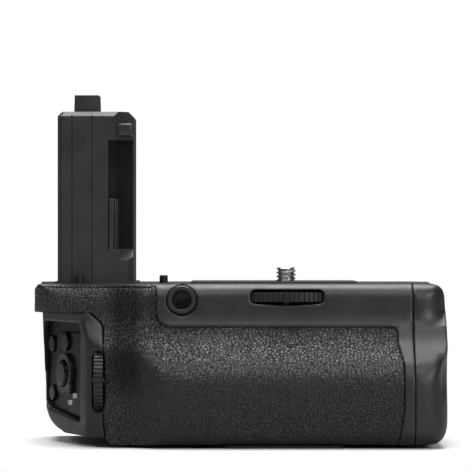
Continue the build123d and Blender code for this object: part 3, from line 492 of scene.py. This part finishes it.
FINISHES = {
    "casing_plastic": Moulding("SatinBlackCasing", (0.0105, 0.0105, 0.0111), 0.44),
    "grip_rubber": Pebbled("PebbledGripRubber", (0.012, 0.012, 0.0124), 0.42),
    "pad_rubber": Moulding("MattPadRubber", (0.016, 0.016, 0.0165), 0.72, 0.5 * MM, 0.03 * MM),
    "stalk_plastic": Moulding("SatinStalkPlastic", (0.021, 0.021, 0.0215), 0.34),
    "panel_plastic": Moulding("SatinPanelPlastic", (0.0022, 0.0022, 0.0025), 0.3, shine=0.1),
    "button_plastic": Moulding(
        "PolishedButtonPlastic", (0.0028, 0.0028, 0.0031), 0.22, coat=Coat.SATIN, shine=0.14
    ),
    "dial_plastic": Moulding("RibbedDialPlastic", (0.010, 0.010, 0.0105), 0.4, edge=0.14 * MM),
    # painted shade: a near-black finish for the sheet that darkens the stalk's recess
    "painted_shade_sheet": Moulding("PaintedShadeSheet", (0.002, 0.002, 0.0022), 0.6, shine=0.15),
    "inner_plastic": Moulding("PlainInnerMoulding", (0.025, 0.025, 0.027), 0.55),
    "steel": Metal("TurnedSteel", (0.6, 0.6, 0.61), 0.27),
    "black_metal": Metal("BlackOxideMetal", (0.035, 0.035, 0.038), 0.38, 0.8),
    "chassis_metal": Metal("PressedChassisMetal", (0.5, 0.5, 0.52), 0.42),
    "brass": Metal("PlatedContacts", (0.78, 0.57, 0.28), 0.25),
    "board": CircuitBoard("SolderMaskedBoard", (0.012, 0.09, 0.04)),
    "white_ink": Ink("WhitePrintedInk", (0.9, 0.9, 0.89)),
}


class Workshop:
    """The hand work that every new piece goes through."""

    doubles: float = 0.004 * MM
    soft_angle: float = 35.0
    edge_segments: int = 3

    def __init__(self) -> None:
        """Keep each finish's material once it is made."""
        self.made: dict[str, bpy.types.Material] = {}

    def finish(self, slot: str) -> bpy.types.Material:
        """Find or make a slot's material.

        Args:
            slot: the finish's key in FINISHES.

        Returns:
            The material.
        """
        if slot not in self.made:
            self.made[slot] = FINISHES[slot].material()
        return self.made[slot]

    def clear(self) -> None:
        """Select nothing at all."""
        for thing in bpy.context.selected_objects:
            thing.select_set(False)

    def take(self, thing: bpy.types.Object) -> None:
        """Select one object alone and make it the active one.

        Args:
            thing: the object.
        """
        self.clear()
        thing.select_set(True)
        bpy.context.view_layer.objects.active = thing

    def place(self) -> None:
        """Put the active piece's place, turn and scale into its mesh."""
        bpy.ops.object.transform_apply(location=True, rotation=True, scale=True)

    def apply(self, thing: bpy.types.Object, kind: str, **settings: object) -> None:
        """Add a modifier and apply it at once.

        Args:
            thing: the piece.
            kind: the modifier's Blender type.
            settings: its options.
        """
        self.take(thing)
        modifier = thing.modifiers.new(kind.title(), kind)
        for key, value in settings.items():
            setattr(modifier, key, value)
        bpy.ops.object.modifier_apply(modifier=modifier.name)

    def combine(self, thing: bpy.types.Object, tool: bpy.types.Object, operation: str) -> None:
        """Cut, join or keep the common part with a tool, which is used up."""
        self.apply(thing, "BOOLEAN", operation=operation, solver="EXACT", object=tool)
        bpy.data.objects.remove(tool)

    def settle(self, thing: bpy.types.Object, angle: float = soft_angle) -> None:
        """Put the piece's place into its mesh and smooth its soft edges.

        Args:
            thing: the piece.
            angle: edges sharper than this many degrees stay crisp.
        """
        self.take(thing)
        self.place()
        bpy.ops.object.mode_set(mode="EDIT")
        bpy.ops.mesh.select_all(action="SELECT")
        bpy.ops.mesh.normals_make_consistent(inside=False)
        bpy.ops.object.mode_set(mode="OBJECT")
        bpy.ops.object.shade_smooth_by_angle(angle=math.radians(angle))

    def copy_of(self, node: str, name: str) -> bpy.types.Object:
        """Copy a CAD node's mesh with its doubles merged.

        Args:
            node: the CAD node.
            name: the new piece's name.

        Returns:
            The new piece, riding on nothing yet.
        """
        piece = bpy.data.objects.new(name, frame["nodes"][node].data.copy())
        bpy.context.scene.collection.objects.link(piece)
        self.take(piece)
        bpy.ops.mesh.customdata_custom_splitnormals_clear()
        bpy.ops.object.mode_set(mode="EDIT")
        bpy.ops.mesh.select_all(action="SELECT")
        bpy.ops.mesh.remove_doubles(threshold=self.doubles)
        bpy.ops.object.mode_set(mode="OBJECT")
        return piece

    def block(self, name: str, low: Vector, high: Vector, edge: float) -> bpy.types.Object:
        """Make a box with rolled edges.

        Args:
            name: the piece's name.
            low: its low corner.
            high: its high corner.
            edge: the radius of its edges, 0 for sharp ones.

        Returns:
            The box.
        """
        self.clear()
        bpy.ops.mesh.primitive_cube_add(size=1.0, location=(low + high) / 2)
        box = bpy.context.object
        box.name = name
        box.scale = high - low
        self.place()
        if edge:
            self.apply(box, "BEVEL", width=edge, segments=self.edge_segments)
        return box

    def hand_over(self, piece: bpy.types.Object, node: str, slot: str) -> None:
        """Let a finished piece stand for a CAD node.

        Args:
            piece: the new piece.
            node: the CAD node that it stands for.
            slot: the record's name for its finish.
        """
        piece.data.materials.clear()
        piece.data.materials.append(self.finish(slot))
        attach(piece, frame["nodes"][node]["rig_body"])
        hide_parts(node)
        LOG.info("%s stands for %s, %d faces", piece.name, node, len(piece.data.polygons))

    def carry(self, piece: bpy.types.Object, finish: str, slot: str | None = None) -> None:
        """Finish a small extra piece and let it ride on the casing.

        Args:
            piece: the piece.
            finish: its finish's key.
            slot: the record's name for its finish, if it has one; not used.
        """
        piece.data.materials.clear()
        piece.data.materials.append(self.finish(finish))
        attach(piece, "casing")
        LOG.info("%s carried by the casing", piece.name)


@dataclass
class CarriedNodes:
    """The CAD nodes whose shape is right as it is."""

    shop: Workshop

    def dress(self) -> None:
        """Give every CAD node the finish that the record names for it."""
        for part in frame["record"]["subparts"]:
            node = frame["nodes"][part["node"]]
            material = self.shop.finish(part["material_slot"])
            if not node.material_slots:
                node.data.materials.append(material)
            for slot in node.material_slots:
                slot.material = material
            LOG.info("%s wears %s", node.name, material.name)


@dataclass(frozen=True)
class SlopeBlend:
    """The long soft hollow in which the upright band runs into the hand grip's slope."""

    crease: float = 38.65 * MM
    rise: float = 0.99
    reach: float = 5.5 * MM
    front: float = -14.0 * MM
    left_start: float = -68.0 * MM
    left_end: float = -61.0 * MM

    def fill(self, point: Vector) -> float:
        """Find how far a point comes forward where the hollow fills the crease.

        Args:
            point: a point of the casing's front.

        Returns:
            The distance towards the viewer.
        """
        away = abs(point.z - self.crease)
        if away > self.reach or point.y > self.front:
            return 0.0
        along = (point.x - self.left_start) / (self.left_end - self.left_start)
        share = min(1.0, max(0.0, along))
        return share * self.rise * (self.reach - away) ** 2 / (4 * self.reach)

    def lay(self, piece: bpy.types.Object) -> None:
        """Move a remeshed piece's points into the hollow.

        Args:
            piece: the piece.
        """
        mesh = bmesh.new()
        mesh.from_mesh(piece.data)
        for point in mesh.verts:
            point.co.y -= self.fill(point.co)
        mesh.to_mesh(piece.data)
        mesh.free()


@dataclass
class SoftForm:
    """One moulded piece whose CAD facets blend into each other, while its true edges stay."""

    shop: Workshop
    node: str
    name: str
    voxel: float = 0.45 * MM
    crease: float = 50.0
    fade: float = 4.0 * MM
    guard: float = 0.9 * MM
    rounds: int = 60
    pull: float = 0.5
    sample: float = 0.4 * MM
    keep: float = 1.0
    crisp: float = 55.0
    hollow: SlopeBlend | None = None
    melt: tuple[Vector, Vector] | None = None

    def melted(self, point: Vector) -> bool:
        """Tell whether a point lies where even sharp facets blend.

        Args:
            point: the point.

        Returns:
            True inside the melted place.
        """
        if self.melt is None:
            return False
        low, high = self.melt
        return all(low[axis] <= point[axis] <= high[axis] for axis in range(3))

    def edge_points(self, piece: bpy.types.Object) -> kdtree.KDTree:
        """Find points along the piece's true edges.

        Args:
            piece: the CAD copy, before it is remeshed.

        Returns:
            The points, ready to be searched.
        """
        mesh = bmesh.new()
        mesh.from_mesh(piece.data)
        limit = math.radians(self.crease)
        points = []
        for edge in mesh.edges:
            if len(edge.link_faces) == 2 and edge.calc_face_angle(0.0) > limit:
                first, last = (point.co for point in edge.verts)
                if self.melted(first) and self.melted(last):
                    continue
                steps = max(1, int((last - first).length / self.sample))
                points += [first.lerp(last, step / steps) for step in range(steps + 1)]
        mesh.free()
        tree = kdtree.KDTree(len(points))
        for index, point in enumerate(points):
            tree.insert(point, index)
        tree.balance()
        return tree

    def weigh(self, piece: bpy.types.Object, edges: kdtree.KDTree) -> str:
        """Mark how freely each point may move, from none at an edge to all far from one.

        Args:
            piece: the remeshed piece.
            edges: the true edges' points.

        Returns:
            The name of the vertex group that holds the marks.
        """
        group = piece.vertex_groups.new(name="Free")
        for point in piece.data.vertices:
            away = edges.find(point.co)[2]
            share = min(1.0, max(0.0, (away - self.guard) / self.fade))
            group.add([point.index], share * share * (3 - 2 * share), "REPLACE")
        return group.name

    def build(self, slot: str) -> bpy.types.Object:
        """Make the piece and let it stand for its node.

        Args:
            slot: the record's name for its finish.

        Returns:
            The finished piece.
        """
        piece = self.shop.copy_of(self.node, self.name)
        edges = self.edge_points(piece)
        self.shop.apply(piece, "REMESH", mode="VOXEL", voxel_size=self.voxel, adaptivity=0.0)
        group = self.weigh(piece, edges)
        if self.hollow:
            self.hollow.lay(piece)
        self.shop.apply(piece, "SMOOTH", factor=self.pull, iterations=1)
        self.shop.apply(
            piece, "SMOOTH", factor=self.pull, iterations=self.rounds, vertex_group=group
        )
        if self.keep < 1.0:
            self.shop.apply(piece, "DECIMATE", ratio=self.keep)
        self.shop.settle(piece, self.crisp)
        self.shop.hand_over(piece, self.node, slot)
        return piece


@dataclass
class Casing:
    """The moulded pieces of the casing that the hand holds."""

    shop: Workshop
    hollow: SlopeBlend = SlopeBlend()
    rubber_voxel: float = 0.5 * MM
    long_rounds: int = 150
    hard_crease: float = 75.0
    hard_fade: float = 1.5 * MM
    pod_fade: float = 1.0 * MM
    pod_guard: float = 0.5 * MM
    shell_keep: float = 0.6
    wrap_front: float = -19.2 * MM
    wrap_left: float = -80.6 * MM
    band_left: float = -42.0 * MM
    block_foot: float = 43.2 * MM
    melt_low: Vector = Vector((-53.0 * MM, -40.0 * MM, 16.0 * MM))
    melt_high: Vector = Vector((-36.0 * MM, -10.0 * MM, 37.0 * MM))

    def form(self, node: str, name: str, slot: str, **settings: object) -> bpy.types.Object:
        """Make one softened piece, with what differs from an ordinary soft form."""
        return SoftForm(self.shop, node, name, **settings).build(slot)

    def build(self) -> None:
        """Make every softened piece."""
        hard = {"crease": self.hard_crease, "hollow": self.hollow}
        self.form(
            "front_rubber", "GripSkin_front", "grip_rubber", voxel=self.rubber_voxel,
            rounds=self.long_rounds, hollow=self.hollow, melt=(self.melt_low, self.melt_high),
        )
        self.form("rear_rubber", "GripSkin_rear", "grip_rubber", voxel=self.rubber_voxel)
        self.form("end_cap", "EndCap_shell", "casing_plastic",
                  fade=self.hard_fade, rounds=self.long_rounds, **hard)
        self.form("control_pod", "ControlPod_shell", "casing_plastic",
                  fade=self.pod_fade, guard=self.pod_guard, **hard)
        shell = self.form("front_shell", "FrontShell_skin", "casing_plastic",
                          fade=self.hard_fade, keep=self.shell_keep, **hard)
        self.overmould(shell)

    def overmould(self, shell: bpy.types.Object) -> None:
        """Carry the rubber over the block's upper edge, as far as the rounded corner goes.

        Args:
            shell: the softened front shell.
        """
        shell.data.materials.append(self.shop.finish("grip_rubber"))
        for face in shell.data.polygons:
            spot = face.center
            wrapped = spot.y < self.wrap_front or spot.x < self.wrap_left
            if wrapped and spot.x < self.band_left and spot.z > self.block_foot:
                face.material_index = 1


@dataclass
class StalkDetails:
    """The catch, guide rails and shoulder that the stalk needs in the camera's battery well, and a
    sheet of painted shade in its recess.
    """

    shop: Workshop
    catch_low: Vector = Vector((-54.9 * MM, -11.4 * MM, 99.9 * MM))
    catch_high: Vector = Vector((-49.9 * MM, -5.0 * MM, 104.0 * MM))
    catch_edge: float = 0.7 * MM
    # a near-black sheet laid in the stalk's recess as painted shade
    shade_sheet_low: Vector = Vector((-54.6 * MM, -7.1 * MM, 63.4 * MM))
    shade_sheet_high: Vector = Vector((-49.85 * MM, -6.9 * MM, 98.5 * MM))
    shoulder_left: float = -55.9 * MM
    shoulder_depth: float = 6.0 * MM
    shoulder_foot: float = 98.5 * MM
    rail_inset: float = 0.05 * MM
    rail_floor: float = -6.9 * MM
    rail_foot: float = 62.0 * MM
    rail_top: float = 79.4 * MM
    rail_edge: float = 0.1 * MM
    rails: tuple[Span, ...] = ((-57.5 * MM, -56.0 * MM), (-55.7 * MM, -55.25 * MM))
    over: float = 2.0 * MM

    def shoulder(self) -> bpy.types.Object:
        """Make the tool that cuts the slanted shoulder behind the catch.

        Returns:
            The tool.
        """
        low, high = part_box("stalk_front")
        right = high.x + self.over
        depth = self.shoulder_depth * (right - self.shoulder_left) / (high.x - self.shoulder_left)
        tool = self.shop.block(
            "ShoulderTool",
            Vector((self.shoulder_left, low.y - self.over, self.shoulder_foot)),
            Vector((right, low.y + depth, high.z + self.over)),
            0.0,
        )
        bpy.ops.object.mode_set(mode="EDIT")
        mesh = bmesh.from_edit_mesh(tool.data)
        for point in mesh.verts:
            point.select_set(point.co.x < high.x and point.co.y > low.y)
        mesh.select_flush_mode()
        bpy.ops.transform.translate(value=(0, -depth, 0))
        bpy.ops.object.mode_set(mode="OBJECT")
        return tool

    def plastic(self, name: str, low: Vector, high: Vector, edge: float) -> None:
        """Add one small block of the stalk's own plastic.

        Args:
            name: the block's name.
            low: its low corner.
            high: its high corner.
            edge: the radius of its edges.
        """
        block = self.shop.block(name, low, high, edge)
        self.shop.settle(block)
        self.shop.carry(block, "stalk_plastic", "stalk_plastic")

    def build(self) -> None:
        """Cut the shoulder and add the catch, the dark sheet of painted shade in the recess and the
        rails.
        """
        shell = self.shop.copy_of("stalk_front", "StalkFront_shell")
        self.shop.combine(shell, self.shoulder(), "DIFFERENCE")
        self.shop.settle(shell)
        self.shop.hand_over(shell, "stalk_front", "stalk_plastic")
        self.plastic("StalkCatch", self.catch_low, self.catch_high, self.catch_edge)
        # painted shade: a near-black sheet over the recess floor
        shade_sheet = self.shop.block("StalkRecessShadeSheet", self.shade_sheet_low, self.shade_sheet_high, 0.0)
        self.shop.carry(shade_sheet, "painted_shade_sheet", "panel_plastic")
        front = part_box("stalk_front")[0].y + self.rail_inset
        for number, (left, right) in enumerate(self.rails):
            low = Vector((left, front, self.rail_foot))
            high = Vector((right, self.rail_floor, self.rail_top))
            self.plastic(f"StalkRail_{number}", low, high, self.rail_edge)


@dataclass
class CameraScrew:
    """The quarter-inch screw, with a true spiral thread."""

    shop: Workshop
    crest: float = 3.175 * MM
    depth: float = 0.62 * MM
    pitch: float = 1.27 * MM
    flat_share: float = 0.125
    flank_share: float = 0.3125
    turns: int = 7
    journal: float = 3.0 * MM
    threaded: float = 5.6 * MM
    tip_chamfer: float = 0.55 * MM
    foot_chamfer: float = 0.1 * MM
    play: float = 0.02 * MM
    overlap: float = 0.05 * MM
    weld: float = 0.002 * MM
    crisp: float = 30.0
    steps: int = 48

    def spiral(self, foot: float) -> bpy.types.Object:
        """Draw one thread's profile and wind it up.

        Args:
            foot: where the lowest turn starts.

        Returns:
            The wound thread, closed at both ends.
        """
        self.shop.clear()
        bpy.ops.mesh.primitive_plane_add(size=self.depth)
        piece = bpy.context.object
        piece.name = "CameraScrew_thread"
        root = self.crest - self.depth
        flat, flank = self.pitch * self.flat_share, self.pitch * self.flank_share
        bpy.ops.object.mode_set(mode="EDIT")
        bpy.ops.mesh.select_all(action="SELECT")
        bpy.ops.mesh.merge(type="CENTER")
        bpy.ops.transform.translate(value=(root, 0, foot))
        for out, up in ((0, flat), (self.depth, flank), (0, flat), (-self.depth, flank), (0, flat)):
            bpy.ops.mesh.extrude_region_move(TRANSFORM_OT_translate={"value": (out, 0, up)})
        bpy.ops.object.mode_set(mode="OBJECT")
        self.shop.apply(
            piece, "SCREW", angle=2 * math.pi, screw_offset=3 * flat + 2 * flank,
            iterations=self.turns, steps=self.steps, render_steps=self.steps,
            use_merge_vertices=True, merge_threshold=self.weld,
        )
        self.shop.take(piece)
        bpy.ops.object.mode_set(mode="EDIT")
        bpy.ops.mesh.select_all(action="SELECT")
        bpy.ops.mesh.remove_doubles(threshold=self.weld)
        bpy.ops.mesh.select_all(action="DESELECT")
        bpy.ops.mesh.select_non_manifold()
        bpy.ops.mesh.fill_holes(sides=0)
        bpy.ops.mesh.select_all(action="SELECT")
        bpy.ops.mesh.normals_make_consistent(inside=False)
        bpy.ops.object.mode_set(mode="OBJECT")
        return piece

    def blank(self, low: float, high: float, radius: float, chamfer: float) -> bpy.types.Object:
        """Turn a plain bar with a chamfered top.

        Args:
            low: the bar's foot.
            high: its top.
            radius: its radius.
            chamfer: how far its top edge is cut back.

        Returns:
            The bar.
        """
        self.shop.clear()
        bpy.ops.mesh.primitive_cylinder_add(
            vertices=2 * self.steps, radius=radius, depth=high - low,
            location=(0, 0, (low + high) / 2),
        )
        bar = bpy.context.object
        self.shop.place()
        bpy.ops.object.mode_set(mode="EDIT")
        mesh = bmesh.from_edit_mesh(bar.data)
        for edge in mesh.edges:
            edge.select_set(all(point.co.z > high - chamfer / 2 for point in edge.verts))
        mesh.select_flush_mode()
        bpy.ops.mesh.bevel(offset=chamfer, segments=1, affect="EDGES")
        bpy.ops.object.mode_set(mode="OBJECT")
        return bar

    def build(self) -> None:
        """Make the screw and let it stand for the CAD one."""
        low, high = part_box("camera_screw")
        shoulder = high.z - self.threaded
        screw = self.spiral(shoulder - self.pitch)
        envelope = self.blank(shoulder, high.z, self.crest + self.play, self.tip_chamfer)
        self.shop.combine(screw, envelope, "INTERSECT")
        journal = self.blank(low.z, shoulder + self.overlap, self.journal, self.foot_chamfer)
        self.shop.combine(screw, journal, "UNION")
        self.shop.settle(screw, self.crisp)
        self.shop.hand_over(screw, "camera_screw", "steel")


@dataclass
class PanelMarks:
    """The small white print round the power lever."""

    shop: Workshop
    letter: float = 2.2 * MM
    film: float = 0.03 * MM
    island: float = 1.3 * MM
    words: tuple[tuple[str, float, float], ...] = (
        ("OFF", 3.1 * MM, -9.6 * MM),
        ("ON", 7.3 * MM, -7.2 * MM),
    )

    def on_panel(self, thing: bpy.types.Object, across: float, up: float, out: float) -> None:
        """Lay a flat thing on the slanted panel.

        Args:
            thing: the thing, drawn flat and facing +Z.
            across: how far along the panel from the lever's axis, to the viewer's right.
            up: how far above the lever's axis.
            out: how far off the panel.
        """
        joint = next(row for row in frame["joints"] if row["name"] == "power_lever_turn")
        normal = Vector(joint["axis"]).normalized()
        right = Vector((0, 0, 1)).cross(normal).normalized()
        self.shop.take(thing)
        thing.rotation_euler = (math.pi / 2, 0, math.atan2(right.y, right.x))
        thing.location = (
            Vector(joint["pos_m"]) + right * across + Vector((0, 0, up)) + normal * out
        )
        self.shop.place()

    def letters(self, word: str, across: float, up: float) -> None:
        """Print a word on the panel.

        Args:
            word: what it says.
            across: its middle along the panel.
            up: its middle above the lever's axis.
        """
        self.shop.clear()
        bpy.ops.object.text_add()
        text = bpy.context.object
        text.name = f"PanelPrint_{word.lower()}"
        text.data.body = word
        text.data.size = self.letter
        text.data.align_x = "CENTER"
        text.data.align_y = "CENTER"
        text.data.extrude = self.film
        text.data.offset = self.film
        bpy.ops.object.convert(target="MESH")
        self.on_panel(bpy.context.object, across, up, self.film - self.island)
        self.shop.carry(bpy.context.object, "white_ink")

    def build(self) -> None:
        """Print every mark."""
        for word, across, up in self.words:
            self.letters(word, across, up)


@dataclass(frozen=True)
class Lamp:
    """A soft square lamp."""

    name: str
    place: tuple[float, float, float]
    size: float
    power: float
    aim: tuple[float, float, float] = (-0.016, 0.0, 0.04)

    def hang(self) -> None:
        """Hang the lamp so that it points at the grip."""
        data = bpy.data.lights.new(self.name, "AREA")
        data.shape, data.size, data.energy = "SQUARE", self.size, self.power
        lamp = bpy.data.objects.new(self.name, data)
        lamp.location = self.place
        beam = Vector(self.aim) - lamp.location
        lamp.rotation_euler = beam.to_track_quat("-Z", "Y").to_euler()
        bpy.context.scene.collection.objects.link(lamp)


@dataclass
class Studio:
    """The white floor, the soft lamps and the camera of the photograph."""

    eye: Vector = Vector((-16.4 * MM, -1000 * MM, 67.5 * MM))
    view_width: float = 472 * 0.3275 * MM
    sensor: float = 36.0
    clip: Span = (0.05, 20.0)
    sky_light: float = 0.22
    sky_gloss: float = -0.2
    floor_reach: float = 3.0
    floor_bounce: float = 0.4
    floor_shown: float = 0.82
    floor_roughness: float = 0.9
    floor_shine: float = 0.1
    floor_fade: Span = (0.05, 0.1)
    floor_middle: float = -0.0152
    floor_squeeze: float = 0.55
    lamps: tuple[Lamp, ...] = (
        Lamp("TopLamp", (-0.02, 0.22, 0.8), 0.7, 12.0),
        Lamp("BrowLamp", (0.0, -0.6, 0.75), 0.3, 2.0),
        Lamp("LeftLamp", (-0.6, -0.55, 0.6), 0.16, 1.5),
        Lamp("RightLamp", (0.6, -0.8, 0.45), 0.3, 4.2),
    )

    def camera(self) -> None:
        """Stand the camera level in front of the grip."""
        data = bpy.data.cameras.new("Camera")
        data.sensor_width = self.sensor
        data.lens = self.sensor * abs(self.eye.y) / self.view_width
        data.clip_start, data.clip_end = self.clip
        camera = bpy.data.objects.new("Camera", data)
        camera.location = self.eye
        camera.rotation_euler = (math.pi / 2, 0, 0)
        bpy.context.scene.collection.objects.link(camera)
        bpy.context.scene.camera = camera

    def world(self) -> None:
        """Light evenly from all round, and show white to the eye but little to gloss."""
        world = bpy.data.worlds.new("White")
        world.use_nodes = True
        bpy.context.scene.world = world
        graph = Graph(world.node_tree)
        path = graph.add("ShaderNodeLightPath").outputs
        seen = graph.math("MAXIMUM", path["Is Camera Ray"], path["Is Transmission Ray"])
        share = graph.math("MULTIPLY_ADD", path["Is Glossy Ray"], self.sky_gloss, seen)
        strength = graph.remap(share, UNIT, (self.sky_light, 1.0), clamp=False)
        sky = graph.tree.nodes["Background"]
        graph.join(strength, sky.inputs["Strength"])
        sky.inputs["Color"].default_value = WHITE

    def far_white(self, shader: Shader) -> Socket:
        """Find where the eye sees pure white instead of the floor.

        Args:
            shader: the floor's shader.

        Returns:
            The share of white, from 0 near the grip to 1 far off.
        """
        narrowed = shader.add("ShaderNodeMapping")
        shift = -self.floor_squeeze * self.floor_middle
        narrowed.inputs["Location"].default_value = (shift, 0.0, 0.0)
        narrowed.inputs["Scale"].default_value = (self.floor_squeeze, 1.0, 1.0)
        shader.join(shader.place, narrowed.inputs["Vector"])
        reach = shader.add("ShaderNodeVectorMath", operation="LENGTH")
        shader.join(narrowed.outputs["Vector"], reach.inputs[0])
        return shader.remap(reach.outputs["Value"], self.floor_fade, UNIT, soft=True)

    def floor(self) -> None:
        """Lay the white floor, which keeps the grip's shadow and fades to pure white far off."""
        bpy.ops.mesh.primitive_plane_add(size=2 * self.floor_reach)
        plane = bpy.context.object
        plane.name = "Floor"
        shader = Shader("WhiteFloor")
        to_eye = shader.add("ShaderNodeLightPath").outputs["Is Camera Ray"]
        bounce, shown = (self.floor_bounce,) * 3, (self.floor_shown,) * 3
        shader.set("Base Color", shader.tint(to_eye, bounce, shown))
        shader.set("Roughness", self.floor_roughness)
        shader.set("Specular IOR Level", self.floor_shine)
        white = shader.add("ShaderNodeEmission")
        white.inputs["Strength"].default_value = 1.0
        blend = shader.add("ShaderNodeMixShader")
        shader.join(shader.math("MULTIPLY", self.far_white(shader), to_eye), blend.inputs["Fac"])
        shader.join(shader.surface.outputs["BSDF"], blend.inputs[1])
        shader.join(white.outputs["Emission"], blend.inputs[2])
        shader.join(blend.outputs["Shader"], shader.tree.nodes["Material Output"].inputs["Surface"])
        plane.data.materials.append(shader.material)

    def build(self) -> None:
        """Set up everything round the grip."""
        bpy.context.scene.view_settings.view_transform = "Standard"
        self.camera()
        self.world()
        self.floor()
        for lamp in self.lamps:
            lamp.hang()
        LOG.info("studio set")


def main() -> None:
    """Build the grip's looks in order."""
    logging.basicConfig(level=logging.INFO, format="%(message)s")
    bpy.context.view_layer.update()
    shop = Workshop()
    shop.clear()
    CarriedNodes(shop).dress()
    Casing(shop).build()
    StalkDetails(shop).build()
    CameraScrew(shop).build()
    PanelMarks(shop).build()
    Studio().build()


if __name__ == "__main__":
    main()
